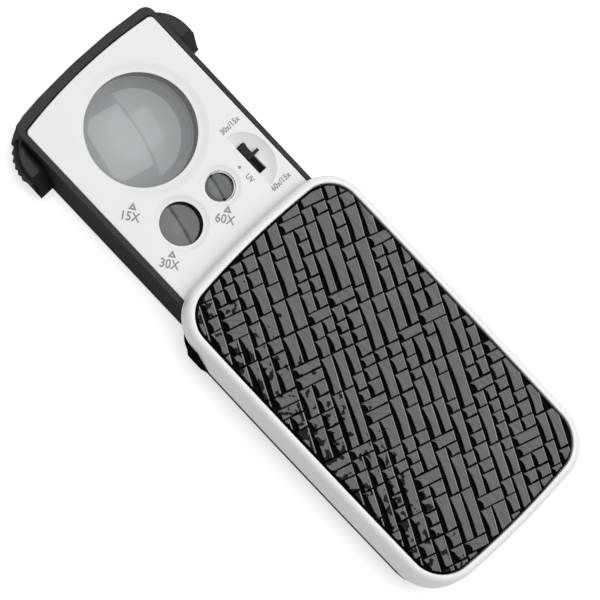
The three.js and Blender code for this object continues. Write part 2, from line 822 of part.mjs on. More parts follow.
function drawerTray() {
  const outline = drawerSize(0);
  const inside = drawerSize(trayWall);
  const outer = planPrism(bowedOutline(outline), trayBottom, trayTop);
  const insidePoints = bowedOutline(inside).map(([x, y]) => {
    const shift = trayWall + ((endWall - trayWall) * (drawerLength - x)) / drawerLength;
    return [x + shift, y];
  });
  const hollow = planPrism(insidePoints, trayFloorTop, trayTop + overrun);
  let tray = cut(outer, hollow, trayFootCut(1), trayFootCut(-1));

  const seatTop = largeLensSeat;
  const largeWell = disc(
    largeLens.x, largeLens.y, trayBottom + trayFloor / 2, ledgeTop,
    wellRadius, largeSegments,
  );
  tray = join(tray, largeWell, gripBody(1), gripBody(-1));
  const above = disc(
    largeLens.x, largeLens.y, seatTop, trayTop + overrun, largeLensRadius + seatGap, largeSegments,
  );
  const through = disc(
    largeLens.x, largeLens.y, -overrun, trayTop + overrun, largeLens.hole, largeSegments,
  );
  const bosses = screwPlaces().map(([x, y]) => (
    disc(x, y, trayBottom + trayFloor / 2, screwBossSplit, screwBossRadius, smallSegments)
  ));
  const posts = boardPosts().map(([x, y]) => (
    disc(x, y, trayBottom + trayFloor / 2, boardUnder - seatGap, boardPostRadius, smallSegments)
  ));
  tray = join(tray, ...bosses, ...posts);
  tray = cut(tray, above, through);

  const cradleHalf = trayHalfWidth - trayWall / 2;
  const cradle = box(
    cellRow - cradleReach, cellRow + cradleReach, -cradleHalf, cradleHalf,
    trayFloorTop - trayFloor / 2, cellTop,
  );
  const doorHalf = doorWidth / 2 + slideGap;
  const rails = [-1, 1].map((side) => {
    const [y0, y1] = side < 0 ? [-cradleHalf, -doorHalf] : [doorHalf, cradleHalf];
    const far = drawerLength - trayWall / 2;
    return box(doorStart, far, y0, y1, trayFloorTop - trayFloor / 2, trayFloorTop + doorRail);
  });
  tray = join(tray, cradle, ...rails);

  const doorway = box(doorStart, drawerLength + overrun, -doorHalf, doorHalf, -overrun, doorwayTop);
  const tongueHalf = doorHalf + doorTongue;
  const tongueBottom = trayBottom + doorThickness - doorTongueThickness;
  const tongueSlot = box(
    doorStart, drawerLength + overrun, -tongueHalf, tongueHalf,
    tongueBottom - seatGap, trayBottom + doorThickness + seatGap,
  );
  const cells = cellPlaces().map(([x, y]) => (
    disc(x, y, -overrun, cellTop + overrun, cellRadius + cellClearance, mediumSegments)
  ));
  const barrels = [
    disc(mediumLens.x, mediumLens.y, -overrun, trayFloorTop + seatGap, mediumLens.hole - barrelLip),
    disc(smallLens.x, smallLens.y, -overrun, trayFloorTop + seatGap, smallLens.hole - barrelLip),
  ];
  const lamps = Object.values(lampPlaces()).map(([x, y]) => (
    disc(x, y, -overrun, trayFloorTop + seatGap, lampRadius + seatGap, smallSegments)
  ));
  const screwHoles = screwPlaces().flatMap(([x, y]) => [
    disc(x, y, -overrun, trayTop + overrun, screwRadius + seatGap, smallSegments),
    disc(x, y, -overrun, trayBottom + screwHeadThickness + seatGap, screwHeadRadius + seatGap, smallSegments),
  ]);
  tray = cut(tray, doorway, tongueSlot, ...cells, ...barrels, ...lamps, ...screwHoles);

  const lugBottom = trayTop - trayWall;
  const lug = box(
    drawerLength - stopLugLength, drawerLength, -stopLugWidth / 2, stopLugWidth / 2,
    lugBottom, roofUnder - slideGap,
  );
  return join(tray, lug);
}

function dishAt(lens, segments) {
  const rise = overrun / dishDepth;
  const slope = lens.dish - lens.hole - dishDepth;
  return join(
    cone(lens.x, lens.y, panelTop - dishDepth, panelTop + overrun, lens.dish - slope,
      lens.dish + slope * rise, segments),
    disc(lens.x, lens.y, -overrun, panelTop + overrun, lens.hole, segments),
  );
}

// The finger scoop beside the switch: half of a flattened ball
function scoopAt(grow) {
  const ball = new THREE.SphereGeometry(1, mediumSegments, smallSegments);
  ball.scale(scoopLength / 2 + grow, scoopReach + grow, scoopDepth + grow);
  ball.translate((slotStart + slotEnd) / 2, slotSide, panelTop);
  const side = box(0, drawerLength, slotSide - grow, sleeveWidth, -overrun, panelTop + overrun);
  return solidOf(ball).intersect(side);
}

function lensPanel() {
  const size = {
    length: panelEnd - panelStart,
    width: panelWidth,
    nearBow: drawerBow,
    farBow: 0,
    sideBow: 0,
    nearCorner: panelCorner,
    farCorner: panelCorner,
    leastCorner: panelCorner,
  };
  const points = bowedOutline(size).map(([x, y]) => [x + panelStart, y]);
  const plate = planPrism(points, panelUnder, panelTop);
  const belly = scoopAt(scoopSkin);
  const below = box(0, drawerLength, -trayWidth, trayWidth, 0, panelTop - panelThickness / 2);
  const slot = box(
    slotStart, slotEnd, slotSide, slotSide + slotWidth, -overrun, panelTop + overrun,
  );
  const bosses = screwPlaces().map(([x, y]) => (
    disc(x, y, screwBossSplit + seatGap, panelTop - panelThickness / 2, screwBossRadius, smallSegments)
  ));
  const pilots = screwPlaces().map(([x, y]) => (
    disc(x, y, 0, screwTip + seatGap, screwRadius + seatGap, smallSegments)
  ));
  return cut(
    join(plate, belly.intersect(below), ...bosses),
    ...pilots,
    dishAt(largeLens, largeSegments),
    dishAt(mediumLens, mediumSegments),
    dishAt(smallLens, mediumSegments),
    scoopAt(0),
    slot,
  );
}

// A lens with two round faces inside a flat rim, turned about its own axis
function lensSolid(lens, radius, aperture, edge, thickness, low, segments) {
  const sag = (thickness - edge) / 2;
  const curve = (aperture * aperture + sag * sag) / (2 * sag);
  const faces = [];
  for (let i = 0; i <= lensSteps; i += 1) {
    const r = (aperture * i) / lensSteps;
    faces.push([r, sag - (curve - Math.sqrt(curve * curve - r * r))]);
  }
  const under = faces.map(([r, rise]) => [r, low - rise]);
  const over = faces.map(([r, rise]) => [r, low + edge + rise]).reverse();
  return turned([...under, [radius, low], [radius, low + edge], ...over], lens.x, lens.y, segments);
}

function largeLensSolid() {
  const aperture = largeLens.hole - lensRelief;
  const low = largeLensSeat + seatGap;
  return lensSolid(
    largeLens, largeLensRadius - seatGap, aperture, largeLensEdge, largeLensThickness, low, largeSegments,
  );
}

// The ring that holds the large lens down on its seat
function lensRetainer() {
  const outer = largeLensRadius;
  const inner = outer - retainerWall;
  const bottom = largeLensSeat + seatGap + largeLensEdge + seatGap;
  return cut(
    disc(largeLens.x, largeLens.y, bottom, ledgeTop, outer, largeSegments),
    disc(largeLens.x, largeLens.y, bottom - overrun, ledgeTop + overrun, inner, largeSegments),
  );
}

// A tube on the tray's floor that carries a small lens just under the panel
function lensBarrel(lens, radius, edge, thickness) {
  const outer = radius + seatGap + barrelWall;
  const bottom = trayFloorTop + seatGap;
  const seat = ledgeTop - thickness / 2 - edge / 2;
  return cut(
    disc(lens.x, lens.y, bottom, ledgeTop, outer, mediumSegments),
    disc(lens.x, lens.y, seat, ledgeTop + overrun, radius + seatGap, mediumSegments),
    disc(lens.x, lens.y, bottom - overrun, ledgeTop, lens.hole - barrelLip, mediumSegments),
  );
}

function smallLensSolid(lens, radius, edge, thickness) {
  const low = ledgeTop - thickness / 2 - edge / 2 + seatGap;
  const aperture = lens.hole - barrelLip - lensRelief;
  return lensSolid(lens, radius, aperture, edge, thickness, low, mediumSegments);
}

function circuitBoard() {
  const top = boardUnder + boardThickness;
  const footStart = boardEnd - boardFoot;
  const outline = [
    [boardStart, armSide],
    [footStart, armSide],
    [footStart, -boardSide],
    [boardEnd, -boardSide],
    [boardEnd, boardSide],
    [boardStart, boardSide],
  ];
  return planPrism(outline, boardUnder, top);
}

function lampSolid([x, y]) {
  const top = boardUnder - seatGap;
  const tip = top - lampLength;
  const domeSteps = 4;
  const profile = [];
  for (let i = 0; i <= domeSteps; i += 1) {
    const angle = (i / domeSteps) * (Math.PI / 2);
    profile.push([lampRadius * Math.sin(angle), tip + lampRadius * (1 - Math.cos(angle))]);
  }
  profile.push([lampRadius, top - lampFlangeThickness]);
  profile.push([lampFlange, top - lampFlangeThickness]);
  profile.push([lampFlange, top]);
  profile.push([0, top]);
  return turned(profile, x, y, smallSegments);
}

function chipPlaces() {
  const x = boardEnd - boardFoot / 2;
  return [-1, 0, 1].map((step) => [x, mediumLens.y + step * chipWidth * 3]);
}

function chipResistor([x, y]) {
  const bottom = boardUnder + boardThickness + solderGap;
  const [halfX, halfY] = [chipLength / 2, chipWidth / 2];
  return box(x - halfX, x + halfX, y - halfY, y + halfY, bottom, bottom + chipHeight);
}

const switchMiddle = { x: (slotStart + slotEnd) / 2, y: slotSide + slotWidth / 2 };
const knobStart = slotStart + (slotEnd - slotStart - knobLength - switchTravel) / 2;

function switchHousing() {
  const { x, y } = switchMiddle;
  const [x0, x1] = [x - switchLength / 2, x + switchLength / 2];
  const [y0, y1] = [y - switchWidth / 2, y + switchWidth / 2];
  const body = box(x0, x1, y0, y1, switchBottom, switchBottom + switchHeight);
  const stemHalf = knobStem / 2 + seatGap;
  const window = box(
    knobStart, knobStart + knobLength + switchTravel + seatGap, y - stemHalf, y + stemHalf,
    switchBottom + switchHeight / 2, switchBottom + switchHeight + overrun,
  );
  return cut(body, window);
}

function switchKnob() {
  const y = switchMiddle.y;
  const x0 = knobStart;
  const halfSlot = slotWidth / 2 - seatGap;
  const baseTop = knobTop - knobBaseDrop;
  const scoopFloor = panelTop - scoopDepth - scoopSkin;
  const base = box(x0, x0 + knobLength, y - halfSlot, y + halfSlot, scoopFloor, baseTop);
  const stemMiddle = x0 + knobLength / 2;
  const stem = box(
    stemMiddle - knobStem / 2, stemMiddle + knobStem / 2, y - knobStem / 2, y + knobStem / 2,
    switchBottom + switchHeight / 2 + seatGap, baseTop,
  );
  const ridgeReaches = [2 * halfSlot, halfSlot, knobReach];
  const ridges = ridgeReaches.map((reach, i) => {
    const start = x0 + ((knobLength - knobRidge) * i) / (ridgeReaches.length - 1);
    const near = y - halfSlot;
    return box(start, start + knobRidge, near, near + reach, baseTop - (knobTop - baseTop) / 2, knobTop);
  });
  const reachRoom = box(
    x0, x0 + knobLength, y + halfSlot, y + halfSlot + knobReach, scoopFloor, baseTop,
  );
  return join(base, stem, cut(join(ridges[0], ...ridges.slice(1)), reachRoom));
}

function buttonCell([x, y]) {
  const step = cellRadius - cellCanStep * 2;
  const profile = [
    [0, cellUnder],
    [step, cellUnder],
    [step, cellUnder + cellCanStep],
    [cellRadius, cellUnder + cellCanStep],
    [cellRadius, cellTop],
    [0, cellTop],
  ];
  return turned(profile, x, y, mediumSegments);
}

// A flat strip over or under cells, with its ends on the middles of the cells
function contactStrip(fromY, toY, z) {
  const [y0, y1] = [Math.min(fromY, toY) - contactWidth / 2, Math.max(fromY, toY) + contactWidth / 2];
  return box(cellRow - contactWidth / 2, cellRow + contactWidth / 2, y0, y1, z, z + contactThickness);
}

function positiveContact() {
  const z = cellTop + contactLift;
  const pad = contactStrip(-cellPitch, -cellPitch, z);
  const lead = box(
    boardEnd - boardFoot / 3, cellRow, -cellPitch - contactWidth / 4, -cellPitch + contactWidth / 4,
    z, z + contactThickness,
  );
  return join(pad, lead);
}

// Under the third cell, along the floor, and up to the board
function negativeContact() {
  const [y0, y1] = [cellPitch - contactWidth / 4, cellPitch + contactWidth / 4];
  const bottom = doorContactBottom;
  const legStart = boardEnd - boardFoot / 3;
  return join(
    contactStrip(cellPitch, cellPitch, bottom),
    box(legStart, cellRow, y0, y1, bottom, bottom + contactThickness),
    box(legStart, legStart + contactThickness, y0, y1, bottom, boardUnder - solderGap),
  );
}

// The door slides out under the cells, and has grooves for a fingertip
function batteryDoor() {
  const half = doorWidth / 2;
  const start = doorStart + seatGap;
  const end = drawerLength - seatGap;
  const top = trayBottom + doorThickness;
  const tongue = half + doorTongue;
  const grooves = [];
  for (let i = 0; i < doorGrooveCount; i += 1) {
    const x = start + doorGrooveLand + i * doorGroovePitch;
    grooves.push(box(
      x, x + doorGrooveWidth, -doorGrooveLength / 2, doorGrooveLength / 2,
      trayBottom - overrun, trayBottom + doorGrooveDepth,
    ));
  }
  const door = join(
    box(start, end, -half, half, trayBottom, top),
    box(start, end, -tongue, tongue, top - doorTongueThickness, top),
  );
  return cut(door, ...grooves);
}

function trayScrew([x, y]) {
  const headTop = trayBottom + screwHeadThickness;
  return join(
    disc(x, y, trayBottom, headTop, screwHeadRadius, smallSegments),
    disc(x, y, headTop - screwHeadThickness / 2, screwTip, screwRadius, smallSegments),
  );
}

// Assembly

function piece(name, solid, material) {
  const mesh = new THREE.Mesh(geometryOf(solid), new THREE.MeshStandardMaterial(materials[material]));
  mesh.name = name;
  return mesh;
}

const sleeve = new THREE.Group();
sleeve.position.x = drawerShown;
sleeve.add(
  piece("upper_shell", upperShell(), "white"),
  piece("inlay_plate", inlayPlate(), "inlay"),
  piece("lower_shell", lowerShell(), "black"),
);

const drawer = new THREE.Group();
const lamps = lampPlaces();
drawer.add(
  piece("drawer_tray", drawerTray(), "black"),
  piece("lens_panel", lensPanel(), "white"),
  piece("lens_15x", largeLensSolid(), "glass"),
  piece("lens_retainer_15x", lensRetainer(), "black"),
  piece(
    "lens_30x",
    smallLensSolid(mediumLens, mediumLensRadius, mediumLensEdge, mediumLensThickness),
    "glass",
  ),
  piece(
    "lens_barrel_30x",
    lensBarrel(mediumLens, mediumLensRadius, mediumLensEdge, mediumLensThickness),
    "black",
  ),
  piece(
    "lens_60x",
    smallLensSolid(smallLens, smallLensRadius, smallLensEdge, smallLensThickness),
    "glass",
  ),
  piece(
    "lens_barrel_60x",
    lensBarrel(smallLens, smallLensRadius, smallLensEdge, smallLensThickness),
    "black",
  ),
  piece("circuit_board", circuitBoard(), "board"),
  piece("lamp_white_30x", lampSolid(lamps.medium), "lamp"),
  piece("lamp_white_60x", lampSolid(lamps.small), "lamp"),
  piece("lamp_ultraviolet", lampSolid(lamps.ultraviolet), "violet"),
  piece("switch_housing", switchHousing(), "black"),
  piece("contact_positive", positiveContact(), "metal"),
  piece("contact_bridge", contactStrip(0, cellPitch, cellTop + contactLift), "metal"),
  piece("contact_negative", negativeContact(), "metal"),
);
chipPlaces().forEach((place, i) => {
  drawer.add(piece(`chip_resistor_${i + 1}`, chipResistor(place), "black"));
});
screwPlaces().forEach((place, i) => {
  drawer.add(piece(`tray_screw_${i + 1}`, trayScrew(place), "metal"));
});
cellPlaces().forEach((place, i) => {
  drawer.add(piece(`button_cell_${i + 1}`, buttonCell(place), "metal"));
});

const slider = new THREE.Group();
slider.add(piece("switch_knob", switchKnob(), "black"));

const door = new THREE.Group();
door.add(
  piece("battery_door", batteryDoor(), "black"),
  piece("door_contact", contactStrip(-cellPitch, 0, doorContactBottom), "metal"),
);
drawer.add(slider, door);

const loupe = new THREE.Group();
loupe.add(sleeve, drawer);
loupe.position.x = -(drawerShown + sleeveLength) / 2;

export default loupe;
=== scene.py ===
import json
import math
import random

import bmesh
import bpy
from mathutils import Matrix, Vector


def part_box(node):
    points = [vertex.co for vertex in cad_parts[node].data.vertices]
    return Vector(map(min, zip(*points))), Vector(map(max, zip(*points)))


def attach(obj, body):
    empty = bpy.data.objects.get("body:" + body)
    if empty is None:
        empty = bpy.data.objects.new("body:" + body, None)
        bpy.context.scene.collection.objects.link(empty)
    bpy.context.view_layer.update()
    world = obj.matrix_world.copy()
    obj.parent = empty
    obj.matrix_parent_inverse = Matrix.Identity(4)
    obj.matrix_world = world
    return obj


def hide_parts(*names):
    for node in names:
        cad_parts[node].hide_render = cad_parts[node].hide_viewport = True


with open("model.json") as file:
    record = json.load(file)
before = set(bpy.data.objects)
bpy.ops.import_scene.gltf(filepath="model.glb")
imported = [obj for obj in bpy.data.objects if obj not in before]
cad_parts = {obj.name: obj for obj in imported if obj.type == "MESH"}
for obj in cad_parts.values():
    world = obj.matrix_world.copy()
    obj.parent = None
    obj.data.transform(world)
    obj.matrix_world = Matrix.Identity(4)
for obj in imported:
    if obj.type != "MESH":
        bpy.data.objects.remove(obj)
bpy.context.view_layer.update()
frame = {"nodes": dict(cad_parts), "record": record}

# Looks of a pull-out pocket loupe. The frame is in metres, and sizes here are in millimetres.
MM = 0.001


def low_high(node):
    """A node's box in millimetres."""
    low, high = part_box(node)
    return low / MM, high / MM


# Places read from the frame
PANEL_LOW, PANEL_HIGH = low_high("lens_panel")
SHELL_LOW, SHELL_HIGH = low_high("upper_shell")
INLAY_LOW, INLAY_HIGH = low_high("inlay_plate")
KNOB_LOW, KNOB_HIGH = low_high("switch_knob")
TIP = low_high("drawer_tray")[0].x
MOUTH = SHELL_LOW.x
PANEL_TOP = PANEL_HIGH.z
SLEEVE_LENGTH = SHELL_HIGH.x - SHELL_LOW.x
SLEEVE_WIDTH = SHELL_HIGH.y - SHELL_LOW.y
SLEEVE_HEIGHT = SHELL_HIGH.z

# Sleeve
END_BOW = 1.6
SIDE_BOW = 0.3
FAR_CORNER = 10.5
MOUTH_CORNER = 9.6
RIM_WIDTH = 2.3
WALL_LEAN = 0.35
TOP_ROUND = 1.5
RIM_INNER_ROUND = 0.35
RIM_INNER_STEPS = 5
TOP_ROUND_STEPS = 8
SHELL_WALL = 1.6
SHELL_WALL_SHARES = (0.35, 0.7, 1.0)
SHELL_SIDE_STEPS = 40
RECESS_ROOM = 0.3
ROOF_THICKNESS = 1.5
LEAST_CORNER = 2.3
PARTING_FALL = 5.4
PARTING_HEIGHT = SHELL_LOW.z
PARTING_OVER_PANEL = 0.7
PARTING_MOUTH_HEIGHT = PANEL_TOP + PARTING_OVER_PANEL
PARTING_END = 18.2

# Black walls over the thumb grips' pockets: x from the mouth, and a quarter round seen from above
WEB_START = 7.2
WEB_END = 19.4
WEB_FADE_START = 16.5
WEB_REACH = 28.9
WEB_CORNER = 7.0
WEB_CORNER_X = 12.7
WEB_WALL = 0.9
WEB_TOP_GAP = 0.05
WEB_LOW_EDGE = ((10.7, 10.95), (11.9, 8.6))
WEB_LOW_FADE = 0.95
WEB_TOP_FADE = 0.5
WEB_INNER_FADE = 0.3
WEB_STEPS = 26

# Dishes in the panel, from the tip: x, y, hole radius, dish radius, and how far the hole widens below
LARGE = (22.8, 0.0, 14.15, 17.1, 0.6)
MEDIUM = (45.8, -8.8, 5.45, 7.3, 0.3)
SMALL = (45.8, 4.7, 3.9, 5.5, 0.3)
DISH_DEPTH = 0.6
DISH_SLOPE = 0.26
DISH_RISE_SHARES = (
    (0.02, 1.0), (0.2, 0.93), (0.4, 0.72), (0.6, 0.42), (0.8, 0.14), (0.92, 0.03), (1.0, 0.0),
)
DISH_FLARE = 0.5
DISH_FLARE_RISE = 1.0
HOLE_LIP = 0.3
HOLE_EDGE = 0.06
DISH_SEGMENTS = 96

# Lenses: node, place, edge thickness, rise of the upper face, room beside the faces, material
LENSES = (
    ("lens_15x", LARGE, 1.6, 2.5, 0.75, "lens_glass"),
    ("lens_30x", MEDIUM, 1.0, 0.4, 0.25, "barrel_glass"),
    ("lens_60x", SMALL, 1.2, 0.25, 0.25, "barrel_glass"),
)
LENS_SEGMENTS = 128
LENS_FACE_STEPS = 24
RETAINER_FLANGE = 0.5
RETAINER_TAPER = 0.6
RETAINER_LIP = 0.35
RETAINER_LIP_HEIGHT = 0.3
RETAINER_EDGE = 0.1

# Inlay
INLAY_SEED = 23
INLAY_BASE = 1.1
INLAY_BASE_EDGE = 0.1
INLAY_CLEARANCE = 0.2
INLAY_BORDER = 0.45
BAND_TURN = -27
CROSS_TURN = 72
BAND_WIDTH = (3.0, 3.9)
BAND_SHIFT = 6
CROSS_SHARE = 0.55
CROSS_ZONE_SHARE = 0.32
CROSS_LENGTH = (2.5, 3.1)
STEP_PITCH = 27.0
STEP_RUN = 5.6
STRIP_SHARE = 0.5
STRIP_LENGTH = (6.5, 14.0)
SQUARE_LENGTH = (2.6, 4.2)
LEAST_BLOCK = 0.8
LEAST_EDGE = 0.2
LEAST_SIDE = 0.1
LEAST_STEP = 0.02
SIDE_GROOVE = (0.8, 1.25)
GROOVE_GROWTH_TO_SIDE = 0.5
GROWTH_START_SHARE = 0.1
CROSS_GROOVE = (1.2, 1.7)
END_GROOVE = (0.14, 0.34)
THIN_GROOVE = 0.12
GROOVE_LEAD = 0.5
GROOVE_LEAD_SHARE = 0.2
GROOVE_START = 0.04
GROOVE_START_WIDTH = (0.1, 0.3)
GROOVE_TAPER = (-0.35, 0.25)
GROOVE_TAPER_LENGTH = 8
GROOVE_SWELL = (-0.12, 0.18)
FAR_SKEW = (0.0, 0.2)
NEAR_SKEW = (0.0, 0.15)
BLOCK_CORNER = 0.22
BLOCK_CORNER_SHARE = 0.45
BLOCK_CORNER_STEPS = 2
BLOCK_SINK = 0.05
BLOCK_ANGLE = 60
# Width and drop of the painted highlight strip on each block's right edge
HIGHLIGHT_STRIP_WIDTH = 0.3
HIGHLIGHT_STRIP_DROP = 0.06
BLOCK_EDGE = ((0.0, 0.22), (0.04, 0.07), (0.11, 0.0), (0.14, 0.0))
INLAY_FINISHES = ("embossed_inlay", "inlay_tops", "inlay_edges")
GROOVE_SHADE_FINISH, SHEEN_TOP_FINISH, HIGHLIGHT_FINISH = range(3)

# Panel and its switch
PANEL_THICKNESS = 1.5
PANEL_ROUND = 0.3
PANEL_ROUND_SHARE = 0.3
PANEL_CORNER = 1.2
PANEL_LEAST_CORNER = 0.8
DRAWER_BOW = 1.7
SLOT_START = 41.9
SLOT_LENGTH = 8.4
SLOT_SIDE = 14.0
SLOT_WIDTH = 2.7
SCOOP_LENGTH = 15.6
SCOOP_REACH = 6.6
SCOOP_DEPTH = 1.7
SCOOP_RISE = 1.7
SCOOP_SKIN = 1.1
SCOOP_STEPS = 16
SCOOP_TURNS = 72
SCREWS = 4
SCREW_BOSS = 2.1
SCREW_PILOT = 1.1
SCREW_PILOT_ROOM = 0.3
SCREW_SEGMENTS = 32
KNOB_SIDE_ROOM = 0.3
KNOB_RIDGE = 0.8
KNOB_RIDGE_SINK = 0.3
KNOB_RIDGE_OVERLAP = 0.2
KNOB_STEM = 1.1
KNOB_BASE_DROP = 1.1
KNOB_BEVEL = 0.14
KNOB_BEVEL_STEPS = 2
KNOB_ANGLE = 40

# How far a cutting tool reaches past what it cuts
HOLE_CUT_ROOM = 3
PILOT_CUT_ROOM = 1
SLOT_CUT_ROOM = 4
SLOT_CUT_RISE = 2
SCOOP_CUT_ROOM = 30
SCOOP_CUT_RISE = 10

# Ink marks: place of each middle, from the tip, and for the switch's marks their turn and height
INK_THICKNESS = 0.03
INK_LIFT = 0.002
CAPITAL_SHARE = 0.7
LARGE_LETTER = 2.2
SMALL_LETTER = 1.4
LETTER_SQUEEZE_SHARE = 0.88
LETTER_SPACE_SHARE = 1.04
LETTER_BOLD = 0.06
LETTER_STEPS = 6
READING_TURN = 36
MAGNIFICATIONS = (
    ("mark_15x", "15X", 36.0, -17.1),
    ("mark_30x", "30X", 50.8, -18.1),
    ("mark_60x", "60X", 52.3, -0.3),
)
SWITCH_MARKS = (
    ("mark_position_back", "30x/15x", 36.8, 16.8, 90, SMALL_LETTER),
    ("mark_position_front", "60x/15x", 55.1, 16.5, 90, SMALL_LETTER),
    ("mark_ultraviolet", "UV", 49.3, 11.4, 0, 1.33),
)
DOT = (45.7, 11.4)
DOT_RADIUS = 0.42
DOT_SIDES = 12
ARROW_RISE = 2.65
ARROW_SHIFT = 0.35
ARROW_HALF_WIDTH = 1.05
ARROW_FOOT = 0.85
ARROW_TIP = 0.95
ARROW_OPENING_SHARE = 0.3

# Colours
BLACK = (0.006, 0.006, 0.0063)
KNOB_BLACK = (0.006, 0.006, 0.0065)
# The webs' black, darker and glossless beside the black plastic: painted shade under the white shell
WEB_SHADE_BLACK = (0.005, 0.005, 0.0052)
# Near-black of the inlay's grooves, sides and base, darker than its plastic: painted shade
GROOVE_SHADE_BLACK = (0.0012, 0.0012, 0.0013)
# The inlay tops' grey: the plastic's own dark colour brightened with painted sheen
TOP_GREY_WITH_SHEEN = (0.127, 0.127, 0.128)
# Lighter grey of a strip along each inlay block's right edge: painted highlight
HIGHLIGHT_GREY = (0.17, 0.17, 0.17)
INK_GREY = (0.24, 0.24, 0.24)
RETAINER_GREY = (0.36, 0.36, 0.36)
SHELL_WHITE = (0.82, 0.82, 0.83)
PANEL_WHITE = (0.75, 0.75, 0.755)
FLOOR_WHITE = (0.82, 0.82, 0.82)
BOARD_GREEN = (0.02, 0.13, 0.05)
STEEL = (0.62, 0.62, 0.63)
BRASS = (0.75, 0.66, 0.42)

# Noises by their waves per millimetre and their detail, and the height of surface grain
CLOUDS = (0.08, 3.0)
PATCHES = (0.35, 4.0)
HAZE = (0.4, 3.0)
METAL_STREAKS = (1.2, 4.0)
INLAY_STREAKS = (0.9, 4.0)
SPECKS = (0.42, 2.0)
GRAIN = (2.5, 2.0)
NOISE_ENDS = (0.35, 0.65)
GRAIN_HEIGHT = 0.004
BLACK_GRAIN_HEIGHT = 0.006
STREAK_HEIGHT = 0.01

# Roughness, as a change from a material's own value or as a range
PLASTIC_UNEVENNESS = (-0.06, 0.08)
METAL_UNEVENNESS = (-0.05, 0.1)
BLACK_UNEVENNESS = 0.1
BLACK_FACING = (0.3, 0.8)
BLACK_ROUGHNESS = (0.82, 0.4)
GLASS_ROUGHNESS = (0.0, 0.015)
TOP_ROUGHNESS = (0.38, 0.5)

# Black specks on the inlay's tops: their rise from the sleeve's middle to one side, and where they begin
SPECKS_AT_SIDE = 0.15
SPECKS_AT_MIDDLE = -0.22
SPECK_ENDS = (0.59, 0.6)

# Light: two soft boxes side by side, with a narrow gap that the lenses mirror, as the photograph's do.
# Their sides are measured along the gap and across it, from above the loupe's middle.
# These, their height and the floor's half size are in metres.
BOX_TURN = -13
BOX_HEIGHT = 0.9
SOFT_BOXES = (
    ("soft_box_left", (-0.53, 0.32), (-0.28, 0.226), 2.5),
    ("soft_box_right", (-0.7, 0.7), (0.262, 1.15), 1.9),
)
SKY_GLOW = 0.37
FLOOR_HALF_SIZE = 3.0
# Less glow in reflections and through glass: painted shade of the floor under and beside the loupe
FLOOR_GLOW = (("Is Camera Ray", 0.6), ("Is Glossy Ray", 0.2), ("Is Transmission Ray", 0.1))

# Camera, set by the photograph's view of the panel's and the sleeve's edges
VIEW_TILT = 16.665
VIEW_AZIMUTH = -102.359
VIEW_ROLL = 58.583
VIEW_DISTANCE = 1268.5
VIEW_LENS = 312.3
VIEW_AIM = (2.136, 3.609, 0.0)
VIEW_CLIP = (0.01, 20)

# Steps, shading angles and small reaches of the helpers
CORNER_STEPS = 14
END_STEPS = 10
FLAT_WEIGHT = 100
SMOOTH_ANGLE = 30
FACET_ANGLE = 32
MERGE_REACH = 0.002
NEAR_AXIS = 1e-6


# Mesh helpers

def new_piece(name, points, faces, body=None, smooth_angle=SMOOTH_ANGLE):
    """An object from points in millimetres, with edges sharper than the angle kept sharp."""
    mesh = bpy.data.meshes.new(name)
    mesh.from_pydata([Vector(p) * MM for p in points], [], faces)
    mesh.validate()
    tidy_normals(mesh)
    piece = bpy.data.objects.new(name, mesh)
    bpy.context.scene.collection.objects.link(piece)
    shade(piece, smooth_angle)
    if body:
        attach(piece, body)
    return piece


def tidy_normals(mesh):
    work = bmesh.new()
    work.from_mesh(mesh)
    bmesh.ops.recalc_face_normals(work, faces=work.faces)
    work.to_mesh(mesh)
    work.free()


def shade(piece, smooth_angle):
    for face in piece.data.polygons:
        face.use_smooth = True
    piece.data.set_sharp_from_angle(angle=math.radians(smooth_angle))


def carve(piece, tool, operation="DIFFERENCE"):
    """Cuts or joins piece with tool, and removes tool."""
    step = piece.modifiers.new("carve", "BOOLEAN")
    step.object = tool
    step.operation = operation
    step.solver = "EXACT"
    apply_modifiers(piece)
    bpy.data.objects.remove(tool)


def apply_modifiers(piece):
    graph = bpy.context.evaluated_depsgraph_get()
    mesh = bpy.data.meshes.new_from_object(piece.evaluated_get(graph))
    piece.modifiers.clear()
    piece.data = mesh


def weigh_normals(piece):
    """Lets wide faces set the shading at their corners, so that flats stay flat beside small curves."""
    step = piece.modifiers.new("weigh", "WEIGHTED_NORMAL")
    step.weight = FLAT_WEIGHT
    step.keep_sharp = True
    apply_modifiers(piece)


def bowed_outline(size, inset, end_steps=END_STEPS):
    """A rectangle from x = 0 to its length, with round corners and ends and sides that bow outward."""
    half_x = size["length"] / 2 - inset - (size["near_bow"] + size["far_bow"]) / 2
    half_y = size["width"] / 2 - inset - size["side_bow"]
    middle = size["length"] / 2 + (size["near_bow"] - size["far_bow"]) / 2
    quarters = [
        (1, 1, size["far_corner"]),
        (-1, 1, size["near_corner"]),
        (-1, -1, size["near_corner"]),
        (1, -1, size["far_corner"]),
    ]
    flat = []
    for quarter, (sign_x, sign_y, corner) in enumerate(quarters):
        radius = max(corner - inset, size["least_corner"])
        for i in range(CORNER_STEPS + 1):
            angle = (quarter + i / CORNER_STEPS) * math.pi / 2
            x = sign_x * (half_x - radius) + radius * math.cos(angle)
            y = sign_y * (half_y - radius) + radius * math.sin(angle)
            flat.append((x, y))
    points = []
    for i, (x, y) in enumerate(flat):
        points.append((x, y))
        if i % (CORNER_STEPS + 1) == CORNER_STEPS:
            next_x, next_y = flat[(i + 1) % len(flat)]
            for step in range(1, end_steps):
                share = step / end_steps
                points.append((x + (next_x - x) * share, y + (next_y - y) * share))
    bowed = []
    for x, y in points:
        bow = size["near_bow"] if x < 0 else size["far_bow"]
        stretch_x = 1 + bow / half_x * (1 - (y / half_y) ** 2)
        stretch_y = 1 + size["side_bow"] / half_y * (1 - (x / half_x) ** 2)
        bowed.append((middle + x * stretch_x, y * stretch_y))
    return bowed


